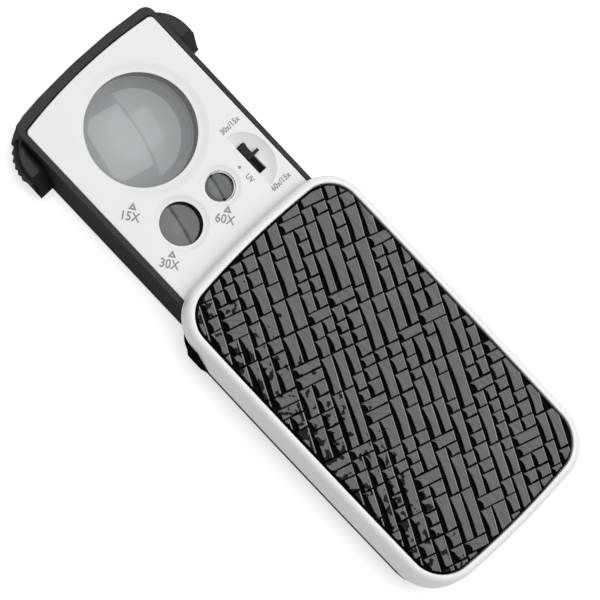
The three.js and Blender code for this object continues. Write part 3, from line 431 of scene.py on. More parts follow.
def loft(name, rings, body=None, closed=False):
    """A body through rings of equal count, capped at both ends, or closed on itself like a frame."""
    count = len(rings[0])
    levels = len(rings) - 1
    kept = rings[:-1] if closed else rings
    points = [p for ring in kept for p in ring]
    faces = []
    for level in range(levels):
        low, high = level * count, (level + 1) % len(kept) * count
        for i in range(count):
            j = (i + 1) % count
            faces.append((low + i, low + j, high + j, high + i))
    if not closed:
        faces.append(tuple(range(count - 1, -1, -1)))
        faces.append(tuple(range(levels * count, levels * count + count)))
    return new_piece(name, points, faces, body)


def lathe(name, profile, x, y, segments, body=None):
    """A closed profile of radius and height, from axis to axis, turned about an upright line."""
    points, faces = [], []
    rows = []
    for radius, z in profile:
        if radius < NEAR_AXIS:
            rows.append([len(points)])
            points.append((x, y, z))
            continue
        rows.append(list(range(len(points), len(points) + segments)))
        for i in range(segments):
            angle = 2 * math.pi * i / segments
            points.append((x + radius * math.cos(angle), y + radius * math.sin(angle), z))
    for low, high in zip(rows, rows[1:]):
        for i in range(segments):
            j = (i + 1) % segments
            ring = [low[i % len(low)], low[j % len(low)], high[j % len(high)], high[i % len(high)]]
            face = tuple(dict.fromkeys(ring))
            if len(face) > 2:
                faces.append(face)
    return new_piece(name, points, faces, body)


def box(name, low, high, body=None):
    (x0, y0, z0), (x1, y1, z1) = low, high
    lower = [(x0, y0, z0), (x1, y0, z0), (x1, y1, z0), (x0, y1, z0)]
    upper = [(x, y, z1) for x, y, _ in lower]
    return loft(name, [lower, upper], body)


# Material helpers

def new_material(name, colour, roughness, **sockets):
    material = bpy.data.materials.new(name)
    material.use_nodes = True
    shader = material.node_tree.nodes["Principled BSDF"]
    shader.inputs["Base Color"].default_value = (*colour, 1)
    shader.inputs["Roughness"].default_value = roughness
    for socket, value in sockets.items():
        shader.inputs[socket.replace("_", " ")].default_value = value
    return material


def add_node(material, kind, **values):
    node = material.node_tree.nodes.new(kind)
    for key, value in values.items():
        if key in node.inputs:
            node.inputs[key].default_value = value
        else:
            setattr(node, key, value)
    return node


def object_noise(material, scale, detail, stretch=(1, 1, 1), turn=0.0):
    """Noise in the object's own coordinates, with scale in waves per millimetre."""
    tree = material.node_tree
    where = add_node(material, "ShaderNodeTexCoord")
    mapping = add_node(material, "ShaderNodeMapping")
    mapping.inputs["Scale"].default_value = [scale / MM * s for s in stretch]
    mapping.inputs["Rotation"].default_value = (0, 0, turn)
    noise = add_node(material, "ShaderNodeTexNoise", Scale=1.0, Detail=detail)
    tree.links.new(where.outputs["Object"], mapping.inputs["Vector"])
    tree.links.new(mapping.outputs["Vector"], noise.inputs["Vector"])
    return noise


def rescaled(tree, value, goal, span=(0.0, 1.0)):
    """An output taken from its span to the goal's, and held within it."""
    node = tree.nodes.new("ShaderNodeMapRange")
    node.inputs["From Min"].default_value, node.inputs["From Max"].default_value = span
    node.inputs["To Min"].default_value, node.inputs["To Max"].default_value = goal
    tree.links.new(value, node.inputs["Value"])
    return node.outputs["Result"]


def vary_colour(material, noise, colour, shares):
    """Base colour that goes between two shares of the colour as the noise goes from dark to light."""
    tree = material.node_tree
    ramp = add_node(material, "ShaderNodeValToRGB")
    for element, position, share in zip(ramp.color_ramp.elements, NOISE_ENDS, shares):
        element.position = position
        element.color = (*(min(1.0, c * share) for c in colour), 1)
    tree.links.new(noise.outputs["Fac"], ramp.inputs["Fac"])
    tree.links.new(ramp.outputs["Color"], tree.nodes["Principled BSDF"].inputs["Base Color"])
    return ramp


def vary_roughness(material, noise, goal):
    tree = material.node_tree
    roughness = rescaled(tree, noise.outputs["Fac"], goal)
    tree.links.new(roughness, tree.nodes["Principled BSDF"].inputs["Roughness"])


def about(value, changes):
    return tuple(value + change for change in changes)


def add_bump(material, noise, height):
    """Surface grain whose height is in millimetres."""
    tree = material.node_tree
    bump = add_node(material, "ShaderNodeBump", Strength=1.0)
    bump.inputs["Distance"].default_value = height * MM
    tree.links.new(noise.outputs["Fac"], bump.inputs["Height"])
    tree.links.new(bump.outputs["Normal"], tree.nodes["Principled BSDF"].inputs["Normal"])


def moulded_plastic(name, colour, roughness, spread_share=0.06, gloss=0.5):
    """Moulded plastic: fine grain, slightly uneven gloss and colour."""
    material = new_material(name, colour, roughness, Specular_IOR_Level=gloss)
    vary_colour(material, object_noise(material, *CLOUDS), colour, (1 - spread_share, 1 + spread_share))
    vary_roughness(material, object_noise(material, *PATCHES), about(roughness, PLASTIC_UNEVENNESS))
    add_bump(material, object_noise(material, *GRAIN), GRAIN_HEIGHT)
    return material


def black_plastic():
    """Black moulding, satin on what faces up and coarser on its walls."""
    material = new_material("black_plastic_looks", BLACK, 0.5, Specular_IOR_Level=0.32)
    tree = material.node_tree
    vary_colour(material, object_noise(material, *CLOUDS), BLACK, (0.75, 1.25))
    facing = add_node(material, "ShaderNodeSeparateXYZ")
    where = add_node(material, "ShaderNodeTexCoord")
    tree.links.new(where.outputs["Normal"], facing.inputs["Vector"])
    uneven = add_node(material, "ShaderNodeMath", operation="MULTIPLY_ADD")
    uneven.inputs[1].default_value = BLACK_UNEVENNESS
    tree.links.new(object_noise(material, *PATCHES).outputs["Fac"], uneven.inputs[0])
    base = rescaled(tree, facing.outputs["Z"], BLACK_ROUGHNESS, BLACK_FACING)
    tree.links.new(base, uneven.inputs[2])
    tree.links.new(uneven.outputs[0], tree.nodes["Principled BSDF"].inputs["Roughness"])
    add_bump(material, object_noise(material, *GRAIN), BLACK_GRAIN_HEIGHT)
    return material


def metal(name, colour, roughness, stretch):
    material = new_material(name, colour, roughness, Metallic=1.0)
    streaks = object_noise(material, *METAL_STREAKS, stretch)
    vary_colour(material, streaks, colour, (0.88, 1.0))
    vary_roughness(material, streaks, about(roughness, METAL_UNEVENNESS))
    return material


def clear(name, colour, ior):
    material = new_material(name, colour, 0.0, IOR=ior)
    material.node_tree.nodes["Principled BSDF"].inputs["Transmission Weight"].default_value = 1.0
    vary_roughness(material, object_noise(material, *HAZE), GLASS_ROUGHNESS)
    return material


def inlay_tops():
    """The raised faces of the inlay: dark plastic brightened with painted sheen, fine streaks along its
    bands, and black specks growing denser towards one side.
    """
    material = new_material("inlay_sheen_top_looks", TOP_GREY_WITH_SHEEN, 0.42, Specular_IOR_Level=0.12)
    tree = material.node_tree
    streaks = object_noise(material, *INLAY_STREAKS, (0.25, 1.6, 1.0), math.radians(-BAND_TURN))
    ramp = vary_colour(material, streaks, TOP_GREY_WITH_SHEEN, (0.88, 1.12))
    where = add_node(material, "ShaderNodeSeparateXYZ")
    place = add_node(material, "ShaderNodeTexCoord")
    tree.links.new(place.outputs["Object"], where.inputs["Vector"])
    half_sleeve = (-SLEEVE_WIDTH / 2 * MM, 0.0)
    side_rise = rescaled(tree, where.outputs["Y"], (SPECKS_AT_SIDE, SPECKS_AT_MIDDLE), half_sleeve)
    total = add_node(material, "ShaderNodeMath", operation="ADD")
    # Black specks in the grooves' black, denser towards the sleeve's -Y side
    tree.links.new(object_noise(material, *SPECKS).outputs["Fac"], total.inputs[0])
    tree.links.new(side_rise, total.inputs[1])
    side_growth = rescaled(tree, total.outputs[0], (0.0, 1.0), SPECK_ENDS)
    mix = add_node(material, "ShaderNodeMix", data_type="RGBA")
    tree.links.new(side_growth, mix.inputs["Factor"])
    tree.links.new(ramp.outputs["Color"], mix.inputs[6])
    mix.inputs[7].default_value = (*GROOVE_SHADE_BLACK, 1)
    tree.links.new(mix.outputs[2], tree.nodes["Principled BSDF"].inputs["Base Color"])
    vary_roughness(material, streaks, TOP_ROUGHNESS)
    add_bump(material, streaks, STREAK_HEIGHT)
    return material


MATERIALS = {
    "white_plastic": moulded_plastic("white_plastic_looks", SHELL_WHITE, 0.3, spread_share=0.01),
    "panel_plastic": moulded_plastic("panel_plastic_looks", PANEL_WHITE, 0.34, spread_share=0.01),
    "black_plastic": black_plastic(),
    "knob_plastic": moulded_plastic("knob_plastic_looks", KNOB_BLACK, 0.4, spread_share=0.25, gloss=0.2),
    # Corner webs: painted shade
    "web_shade_plastic": moulded_plastic("web_plastic_looks", WEB_SHADE_BLACK, 0.6, spread_share=0.25, gloss=0.0),
    "grey_plastic": moulded_plastic("grey_plastic_looks", RETAINER_GREY, 0.45),
    # Inlay grooves, sides and base: near-black painted shade
    "embossed_inlay": moulded_plastic(
        "inlay_groove_shade_looks", GROOVE_SHADE_BLACK, 0.5, spread_share=0.3, gloss=0.02,
    ),
    # Inlay tops: dark plastic with painted sheen
    "inlay_tops": inlay_tops(),
    # Strips along the inlay blocks' right edges: painted highlight
    "inlay_edges": moulded_plastic("inlay_highlight_looks", HIGHLIGHT_GREY, 0.4, spread_share=0.2),
    "mark_ink": moulded_plastic("mark_ink_looks", INK_GREY, 0.5),
    # The grey tints of the lens and barrel glass darken what is seen through them: painted shade of the
    # wells beneath the lenses
    "lens_glass": clear("lens_glass_looks", (0.56, 0.57, 0.575), 1.49),
    "barrel_glass": clear("barrel_glass_looks", (0.24, 0.245, 0.25), 1.52),
    "board_laminate": moulded_plastic("board_looks", BOARD_GREEN, 0.35),
    "lamp_resin": clear("lamp_resin_looks", (0.95, 0.95, 0.9), 1.5),
    "violet_resin": clear("violet_resin_looks", (0.6, 0.5, 0.85), 1.5),
    "sheet_steel": metal("sheet_steel_looks", STEEL, 0.3, (1, 6, 1)),
    "contact_brass": metal("contact_looks", BRASS, 0.3, (6, 1, 1)),
}


def smoothing_group():
    """Joins a CAD mesh's split corners and shades it smooth except over its sharp edges."""
    group = bpy.data.node_groups.new("smooth_facets", "GeometryNodeTree")
    group.interface.new_socket("Geometry", in_out="INPUT", socket_type="NodeSocketGeometry")
    group.interface.new_socket("Geometry", in_out="OUTPUT", socket_type="NodeSocketGeometry")
    start = group.nodes.new("NodeGroupInput")
    end = group.nodes.new("NodeGroupOutput")
    bare = group.nodes.new("GeometryNodeRemoveAttribute")
    bare.inputs["Name"].default_value = "custom_normal"
    merge = group.nodes.new("GeometryNodeMergeByDistance")
    merge.inputs["Distance"].default_value = MERGE_REACH * MM
    faces = group.nodes.new("GeometryNodeSetShadeSmooth")
    faces.domain = "FACE"
    faces.inputs["Shade Smooth"].default_value = True
    angle = group.nodes.new("GeometryNodeInputMeshEdgeAngle")
    compare = group.nodes.new("FunctionNodeCompare")
    compare.operation = "LESS_THAN"
    compare.inputs["B"].default_value = math.radians(FACET_ANGLE)
    edges = group.nodes.new("GeometryNodeSetShadeSmooth")
    edges.domain = "EDGE"
    group.links.new(start.outputs[0], bare.inputs["Geometry"])
    group.links.new(bare.outputs["Geometry"], merge.inputs["Geometry"])
    group.links.new(merge.outputs["Geometry"], faces.inputs["Geometry"])
    group.links.new(faces.outputs["Geometry"], edges.inputs["Geometry"])
    group.links.new(angle.outputs["Unsigned Angle"], compare.inputs["A"])
    group.links.new(compare.outputs["Result"], edges.inputs["Shade Smooth"])
    group.links.new(edges.outputs["Geometry"], end.inputs[0])
    return group


def dress_cad_nodes():
    group = smoothing_group()
    slots = {s["node"]: s["material_slot"] for s in frame["record"]["subparts"]}
    for name, node in frame["nodes"].items():
        for slot in node.material_slots:
            slot.material = MATERIALS[slots[name]]
        step = node.modifiers.new("smooth_facets", "NODES")
        step.node_group = group


# Floor, light and camera

def make_floor():
    reach = FLOOR_HALF_SIZE
    corners = [(-reach, -reach, 0), (reach, -reach, 0), (reach, reach, 0), (-reach, reach, 0)]
    mesh = bpy.data.meshes.new("floor")
    mesh.from_pydata(corners, [], [(0, 1, 2, 3)])
    floor = bpy.data.objects.new("floor", mesh)
    bpy.context.scene.collection.objects.link(floor)
    material = new_material("floor_paper", FLOOR_WHITE, 0.9, Specular_IOR_Level=0.0)
    tree = material.node_tree
    shader = tree.nodes["Principled BSDF"]
    shader.inputs["Emission Color"].default_value = (1, 1, 1, 1)
    path = add_node(material, "ShaderNodeLightPath")
    total = None
    for ray, strength in FLOOR_GLOW:
        part = add_node(material, "ShaderNodeMath", operation="MULTIPLY_ADD")
        part.inputs[1].default_value = strength
        part.inputs[2].default_value = 0.0
        tree.links.new(path.outputs[ray], part.inputs[0])
        if total:
            tree.links.new(total.outputs[0], part.inputs[2])
        total = part
    tree.links.new(total.outputs[0], shader.inputs["Emission Strength"])
    floor.data.materials.append(material)


def make_world():
    world = bpy.data.worlds.new("studio")
    bpy.context.scene.world = world
    world.use_nodes = True
    tree = world.node_tree
    background = tree.nodes["Background"]
    background.inputs["Color"].default_value = (1, 1, 1, 1)
    path = tree.nodes.new("ShaderNodeLightPath")
    strength = rescaled(tree, path.outputs["Is Camera Ray"], (SKY_GLOW, 1.0))
    tree.links.new(strength, background.inputs["Strength"])


def make_soft_box(name, along, across, radiance):
    """A level light panel that faces down and is as bright all over as the radiance given."""
    lamp = bpy.data.lights.new(name, "AREA")
    lamp.shape = "RECTANGLE"
    lamp.size = along[1] - along[0]
    lamp.size_y = across[1] - across[0]
    lamp.energy = radiance * math.pi * lamp.size * lamp.size_y
    light = bpy.data.objects.new(name, lamp)
    bpy.context.scene.collection.objects.link(light)
    turn = Matrix.Rotation(math.radians(BOX_TURN), 4, "Z")
    middle = Vector((sum(along) / 2, sum(across) / 2, BOX_HEIGHT))
    light.matrix_world = turn @ Matrix.Translation(middle)


def make_camera():
    tilt, azimuth, roll = (math.radians(v) for v in (VIEW_TILT, VIEW_AZIMUTH, VIEW_ROLL))
    back = Vector((
        math.sin(tilt) * math.cos(azimuth),
        math.sin(tilt) * math.sin(azimuth),
        math.cos(tilt),
    ))
    level = Vector((0, 0, 1)).cross(back).normalized()
    rise = back.cross(level)
    right = level * math.cos(roll) + rise * math.sin(roll)
    up = back.cross(right)
    camera = bpy.data.objects.new("camera", bpy.data.cameras.new("camera"))
    bpy.context.scene.collection.objects.link(camera)
    camera.data.lens = VIEW_LENS
    camera.data.clip_start, camera.data.clip_end = VIEW_CLIP
    turn = Matrix((right, up, back)).transposed().to_4x4()
    place = (Vector(VIEW_AIM) + back * VIEW_DISTANCE) * MM
    camera.matrix_world = Matrix.Translation(place) @ turn
    bpy.context.scene.camera = camera


# Sleeve

def sleeve_size():
    return {
        "length": SLEEVE_LENGTH,
        "width": SLEEVE_WIDTH,
        "near_bow": END_BOW,
        "far_bow": END_BOW,
        "side_bow": SIDE_BOW,
        "near_corner": MOUTH_CORNER,
        "far_corner": FAR_CORNER,
        "least_corner": LEAST_CORNER,
    }


def wall_inset(z):
    """How far the sleeve's wall stands in at a height, by its lean and the round of its top."""
    lean = WALL_LEAN * (z - PARTING_HEIGHT) / (SLEEVE_HEIGHT - PARTING_HEIGHT)
    above_share = max(0.0, z - (SLEEVE_HEIGHT - TOP_ROUND)) / TOP_ROUND
    return lean + TOP_ROUND * (1 - math.sqrt(max(0.0, 1 - above_share * above_share)))


def parting_at(x):
    """Height of the line between the two shells at a distance from the mouth."""
    share = min(1.0, max(0.0, (PARTING_END - x) / PARTING_FALL))
    return PARTING_HEIGHT + (PARTING_MOUTH_HEIGHT - PARTING_HEIGHT) * share


def make_upper_shell():
    """One closed skin: recess floor, rim, outer wall, parting edge, inner wall and roof."""
    size = sleeve_size()
    recess_floor = INLAY_LOW.z - RECESS_ROOM
    roof_under = recess_floor - ROOF_THICKNESS
    top = SLEEVE_HEIGHT
    rings = []

    def ring(inset, z):
        return [(MOUTH + x, y, z) for x, y in bowed_outline(size, inset, end_steps=SHELL_SIDE_STEPS)]

    rings.append(ring(RIM_WIDTH, recess_floor))
    for i in range(RIM_INNER_STEPS + 1):
        angle = i / RIM_INNER_STEPS * math.pi / 2
        drop = RIM_INNER_ROUND * (1 - math.sin(angle))
        rings.append(ring(RIM_WIDTH - RIM_INNER_ROUND * (1 - math.cos(angle)), top - drop))
    for i in range(TOP_ROUND_STEPS + 1):
        angle = math.pi / 2 * (1 - i / TOP_ROUND_STEPS)
        z = top - TOP_ROUND * (1 - math.sin(angle))
        rings.append(ring(wall_inset(z), z))
    shoulder = top - TOP_ROUND
    partings = [parting_at(x - MOUTH) for x, _, _ in ring(0, 0)]
    for share in SHELL_WALL_SHARES:
        row = []
        for i, parting in enumerate(partings):
            z = shoulder + (parting - shoulder) * share
            row.append(ring(wall_inset(z), z)[i])
        rings.append(row)
    rings.append([ring(wall_inset(z) + SHELL_WALL, z)[i] for i, z in enumerate(partings)])
    rings.append(ring(wall_inset(roof_under) + SHELL_WALL, roof_under))
    shell = loft("upper_shell_skin", rings, "sleeve")
    shell.data.materials.append(MATERIALS["white_plastic"])
    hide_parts("upper_shell")


def make_corner_webs():
    """The black walls that close the mouth's corners between the white shell and the thumb grips, darker
    and glossless as painted shade under the white shell.
    """
    for name, side in (("corner_web_left", -1), ("corner_web_right", 1)):
        rings = []
        for i in range(WEB_STEPS + 1):
            x = WEB_START + (WEB_END - WEB_START) * i / WEB_STEPS
            before_round = max(0.0, WEB_CORNER_X - x)
            reach = WEB_REACH - WEB_CORNER + math.sqrt(WEB_CORNER ** 2 - before_round ** 2)
            fade_share = max(0.0, (x - WEB_FADE_START) / (WEB_END - WEB_FADE_START))
            high = parting_at(x) - WEB_TOP_GAP
            low = web_low_edge(x)
            inner = reach - WEB_WALL - WEB_INNER_FADE * fade_share
            section = (
                (reach - WEB_LOW_FADE * fade_share, low),
                (reach - WEB_TOP_FADE * fade_share, high),
                (inner, high),
                (inner, low),
            )
            rings.append([(MOUTH + x, side * y, z) for y, z in section])
        web = loft(name, rings, "sleeve")
        web.data.materials.append(MATERIALS["web_shade_plastic"])


def web_low_edge(x):
    (x0, z0), (x1, z1) = WEB_LOW_EDGE
    share = min(1.0, max(0.0, (x - x0) / (x1 - x0)))
    return z0 + (z1 - z0) * share


# Inlay

class Shares:
    """A fixed sequence of numbers between 0 and 1."""

    def __init__(self, seed):
        self.source = random.Random(seed)

    def between(self, low, high):
        return self.source.uniform(low, high)

    def happens(self, share):
        return self.source.random() < share


def clip_convex(points, border):
    """The part of a polygon that lies inside a convex border, both drawn anticlockwise."""
    kept = list(points)
    for i, (ax, ay) in enumerate(border):
        bx, by = border[(i + 1) % len(border)]
        entered, kept = kept, []
        for k, (px, py) in enumerate(entered):
            qx, qy = entered[(k + 1) % len(entered)]
            side_p = (bx - ax) * (py - ay) - (by - ay) * (px - ax)
            side_q = (bx - ax) * (qy - ay) - (by - ay) * (qx - ax)
            if side_p >= 0:
                kept.append((px, py))
            if side_p * side_q < 0:
                share = side_p / (side_p - side_q)
                kept.append((px + (qx - px) * share, py + (qy - py) * share))
        if len(kept) < 3:
            return []
    return kept


def polygon_area(points):
    total = 0.0
    for (ax, ay), (bx, by) in zip(points, points[1:] + points[:1]):
        total += ax * by - bx * ay
    return total / 2


def drop_near_points(points, least):
    kept = []
    for point in points:
        if not kept or math.dist(point, kept[-1]) > least:
            kept.append(point)
    while len(kept) > 1 and math.dist(kept[0], kept[-1]) <= least:
        kept.pop()
    return kept


def round_corners(points, radius, steps):
    """The polygon with its corners rounded by short curves."""
    rounded = []
    count = len(points)
    for i in range(count):
        before, here, after = (Vector(points[(i + k) % count]) for k in (-1, 0, 1))
        to_before, to_after = before - here, after - here
        reach = min(radius, *(side.length * BLOCK_CORNER_SHARE for side in (to_before, to_after)))
        start = here + to_before.normalized() * reach
        end = here + to_after.normalized() * reach
        for step in range(steps + 1):
            share = step / steps
            rest = 1 - share
            rounded.append(tuple(start * rest ** 2 + here * 2 * share * rest + end * share ** 2))
    return drop_near_points(rounded, LEAST_STEP)


def shrink(points, inset):
    """Moves each point of an anticlockwise outline inward."""
    moved = []
    count = len(points)
    for i in range(count):
        before, here, after = (Vector(points[(i + k) % count]) for k in (-1, 0, 1))
        along = (after - before).normalized()
        moved.append(tuple(here + Vector((-along.y, along.x)) * inset))
    return moved


def grooved_block(corner, run, lean, length, width, groove, shares):
    """A block's top, which leaves a tapered groove on its left, and the strip of painted highlight on its
    right.
    """
    foot = shares.between(*END_GROOVE)
    taper = shares.between(*GROOVE_TAPER) * min(1.0, length / GROOVE_TAPER_LENGTH)
    lead = min(GROOVE_LEAD, length * GROOVE_LEAD_SHARE)
    swell = shares.between(*GROOVE_SWELL)
    right = width - THIN_GROOVE
    far, near = shares.between(*FAR_SKEW), shares.between(*NEAR_SKEW)
    # Points along and across the block, at shares of its length and of its groove
    left_side = [
        (GROOVE_START, shares.between(*GROOVE_START_WIDTH)),
        (lead, groove * 0.45),
        (length * 0.3, groove * 0.8),
        (length * 0.6, groove + swell * 0.5),
        (length - foot, groove - taper * 0.4),
    ]
    right_side = [
        (length - foot - far, right - max(0.0, taper)),
        (length * 0.5, right + swell * 0.3),
        (near, right),
    ]
    drawn_in = [(u, v - HIGHLIGHT_STRIP_WIDTH) for u, v in right_side]
    tops = (left_side + drawn_in, drawn_in[::-1] + right_side)
    return [[tuple(corner + run * u + lean * v) for u, v in outline] for outline in tops]


def relief_blocks(half_length, half_width):
    """Every block, in pairs of bands that are crossed by stepping flights of blocks."""
    shares = Shares(INLAY_SEED)
    along = math.radians(BAND_TURN)
    across = math.radians(CROSS_TURN)
    lean = Vector((math.cos(across), math.sin(across))) / math.sin(across - along)
    run = Vector((math.cos(along), math.sin(along)))
    blocks = []

    def add(u, length, v, width, groove):
        corner = run * u + lean * v
        # Grooves grow wider towards the sleeve's -Y side
        side_growth = GROOVE_GROWTH_TO_SIDE * max(0.0, -corner.y / half_width - GROWTH_START_SHARE)
        blocks.append(grooved_block(corner, run, lean, length, width, groove + side_growth, shares))

    reach = half_length + half_width
    v = -reach
    pair = 0
    while v < reach:
        widths = [shares.between(*BAND_WIDTH) for _ in range(2)]
        u = -reach - shares.between(0, BAND_SHIFT)
        while u < reach:
            step = (u + pair * STEP_RUN) % STEP_PITCH
            if step < STEP_PITCH * CROSS_ZONE_SHARE and shares.happens(CROSS_SHARE):
                length = shares.between(*CROSS_LENGTH)
                add(u, length, v, sum(widths), shares.between(*CROSS_GROOVE))
                u += length
                continue
            length = shares.between(*STRIP_LENGTH)
            low = v
            for width in widths:
                place = u
                while place < u + length - LEAST_SIDE:
                    is_strip = shares.happens(STRIP_SHARE)
                    piece = shares.between(*(STRIP_LENGTH if is_strip else SQUARE_LENGTH))
                    if u + length - place - piece < SQUARE_LENGTH[0]:
                        piece = u + length - place
                    add(place, piece, low, width, shares.between(*SIDE_GROOVE))
                    place += piece
                low += width
            u += length
        v += sum(widths)
        pair += 1
    return blocks


def make_inlay():
    size = sleeve_size()
    bottom, top = INLAY_LOW.z, INLAY_HIGH.z
    base_top = bottom + INLAY_BASE
    points, faces, finishes = [], [], []

    def add_rings(rings, cap_finish):
        """A closed block through rings of equal count, whose last cap has a finish of its own."""
        start = len(points)
        count = len(rings[0][0])
        for outline, z in rings:
            points.extend((x, y, z) for x, y in outline)
        for level in range(len(rings) - 1):
            low, high = start + level * count, start + (level + 1) * count
            for i in range(count):
                j = (i + 1) % count
                faces.append((low + i, low + j, high + j, high + i))
                # The blocks' sides take the near-black of painted shade
                finishes.append(cap_finish if level > 0 else GROOVE_SHADE_FINISH)
        faces.append(tuple(range(start + count - 1, start - 1, -1)))
        finishes.append(GROOVE_SHADE_FINISH)
        last = start + (len(rings) - 1) * count
        faces.append(tuple(range(last, last + count)))
        finishes.append(cap_finish)

    def plan(inset):
        return [(MOUTH + x, y) for x, y in bowed_outline(size, inset)]

    edge = RIM_WIDTH + INLAY_CLEARANCE
    base = [
        (plan(edge), bottom),
        (plan(edge), base_top - INLAY_BASE_EDGE),
        (plan(edge + INLAY_BASE_EDGE), base_top),
    ]
    add_rings(base, GROOVE_SHADE_FINISH)
    border = plan(edge + INLAY_BORDER)
    middle_x = MOUTH + SLEEVE_LENGTH / 2

    def clipped_outline(corners, least_area):
        placed = [(middle_x + x, y) for x, y in corners]
        clipped = drop_near_points(clip_convex(placed, border), LEAST_SIDE)
        return clipped if len(clipped) > 2 and polygon_area(clipped) > least_area else None

    for body, highlight_strip in relief_blocks(SLEEVE_LENGTH / 2, SLEEVE_WIDTH / 2):
        clipped = clipped_outline(body, LEAST_BLOCK)
        if clipped:
            outline = round_corners(clipped, BLOCK_CORNER, BLOCK_CORNER_STEPS)
            rings = [(outline, base_top - BLOCK_SINK)]
            for inset, drop in BLOCK_EDGE:
                rings.append((shrink(outline, inset), top - drop))
            add_rings(rings, SHEEN_TOP_FINISH)
        # The lighter strip on the block's right edge: painted highlight
        clipped = clipped_outline(highlight_strip, LEAST_EDGE)
        if clipped:
            add_rings([(clipped, base_top - BLOCK_SINK), (clipped, top - HIGHLIGHT_STRIP_DROP)], HIGHLIGHT_FINISH)
    plate = new_piece("inlay_relief", points, faces, "sleeve", BLOCK_ANGLE)
    for finish in INLAY_FINISHES:
        plate.data.materials.append(MATERIALS[finish])
    for face, finish in zip(plate.data.polygons, finishes):
        face.material_index = finish
    weigh_normals(plate)
    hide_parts("inlay_plate")


# Drawer

def panel_outline(inset):
    size = {
        "length": PANEL_HIGH.x - PANEL_LOW.x,
        "width": PANEL_HIGH.y - PANEL_LOW.y,
        "near_bow": DRAWER_BOW,
        "far_bow": 0.0,
        "side_bow": 0.0,
        "near_corner": PANEL_CORNER,
        "far_corner": PANEL_CORNER,
        "least_corner": PANEL_LEAST_CORNER,
    }
    return [(PANEL_LOW.x + x, y) for x, y in bowed_outline(size, inset)]


def make_panel():
    under = PANEL_TOP - PANEL_THICKNESS
    partway = PANEL_ROUND * PANEL_ROUND_SHARE
    edge = (
        (0, under),
        (0, PANEL_TOP - PANEL_ROUND),
        (partway, PANEL_TOP - partway),
        (PANEL_ROUND, PANEL_TOP),
    )
    rings = [[(x, y, z) for x, y in panel_outline(inset)] for inset, z in edge]
    panel = loft("lens_panel_skin", rings, "drawer")
    carve(panel, scoop_ball("scoop_belly", SCOOP_SKIN, PANEL_TOP - PANEL_THICKNESS / 2), "UNION")
    for kind, operation in (("boss", "UNION"), ("pilot", "DIFFERENCE")):
        for index in range(1, SCREWS + 1):
            carve(panel, screw_round(kind, index), operation)
    for place in (LARGE, MEDIUM, SMALL):
        carve(panel, dish_cutter(place, under))
    carve(panel, scoop_ball("scoop", 0.0, None))
    slot_low = (TIP + SLOT_START, SLOT_SIDE, under - SLOT_CUT_ROOM)
    slot_high = (TIP + SLOT_START + SLOT_LENGTH, SLOT_SIDE + SLOT_WIDTH, PANEL_TOP + SLOT_CUT_RISE)
    carve(panel, box("slot", slot_low, slot_high))
    shade(panel, SMOOTH_ANGLE)
    weigh_normals(panel)
    panel.data.materials.clear()
    panel.data.materials.append(MATERIALS["panel_plastic"])
    for face in panel.data.polygons:
        face.material_index = 0
    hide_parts("lens_panel")


def dish_cutter(place, under):
    """What is cut from the panel for a lens: a hole with a lip, and a dish that rises softly round it."""
    x, y, hole, dish, undercut = place
    depth = min(DISH_DEPTH, (dish - hole) * DISH_SLOPE)
    floor = PANEL_TOP - depth
    profile = [
        (0, under - HOLE_CUT_ROOM),
        (hole + undercut, under - HOLE_CUT_ROOM),
        (hole + undercut, floor - HOLE_LIP),
        (hole, floor - HOLE_LIP),
        (hole, floor - HOLE_EDGE),
    ]
    for out_share, depth_share in DISH_RISE_SHARES:
        profile.append((hole + (dish - hole) * out_share, PANEL_TOP - depth * depth_share))
    rise = PANEL_TOP + DISH_FLARE_RISE
    profile += [(dish + DISH_FLARE, rise), (0, rise)]
    return lathe("dish", profile, TIP + x, y, DISH_SEGMENTS)


def screw_round(kind, index):
    """The boss that a tray screw turns into, or its pilot hole."""
    low, high = low_high(f"tray_screw_{index}")
    x, y = (low.x + high.x) / 2, (low.y + high.y) / 2
    if kind == "boss":
        radius, bottom, top = SCREW_BOSS, PANEL_LOW.z, PANEL_TOP - PANEL_THICKNESS / 2
    else:
        radius, bottom, top = SCREW_PILOT, PANEL_LOW.z - PILOT_CUT_ROOM, high.z + SCREW_PILOT_ROOM
    profile = [(0, bottom), (radius, bottom), (radius, top), (0, top)]
    return lathe(kind, profile, x, y, SCREW_SEGMENTS)


def scoop_ball(name, grow, cap):
    """Half of a flattened ball beside the switch, cut flat on the lenses' side."""
    middle_x = TIP + SLOT_START + SLOT_LENGTH / 2
    spread = 1 / math.sqrt(1 - (SCOOP_RISE / (SCOOP_DEPTH + SCOOP_RISE)) ** 2)
    radius_x = SCOOP_LENGTH / 2 * spread + grow
    radius_y = SCOOP_REACH * spread + grow
    radius_z = SCOOP_DEPTH + SCOOP_RISE + grow
    angles = [math.pi * i / SCOOP_STEPS for i in range(SCOOP_STEPS + 1)]
    ball = lathe(name, [(math.sin(a), -math.cos(a)) for a in angles], 0, 0, SCOOP_TURNS)
    for corner in ball.data.vertices:
        x, y, z = corner.co / MM
        place = (middle_x + x * radius_x, SLOT_SIDE + y * radius_y, PANEL_TOP + SCOOP_RISE + z * radius_z)
        corner.co = Vector(place) * MM
    side_low = (middle_x - SCOOP_CUT_ROOM, SLOT_SIDE - grow, PANEL_TOP - SCOOP_CUT_RISE)
    side_high = (middle_x + SCOOP_CUT_ROOM, SLOT_SIDE + SCOOP_CUT_ROOM, cap or PANEL_TOP + SCOOP_CUT_RISE)
    carve(ball, box("scoop_side", side_low, side_high), "INTERSECT")
    return ball


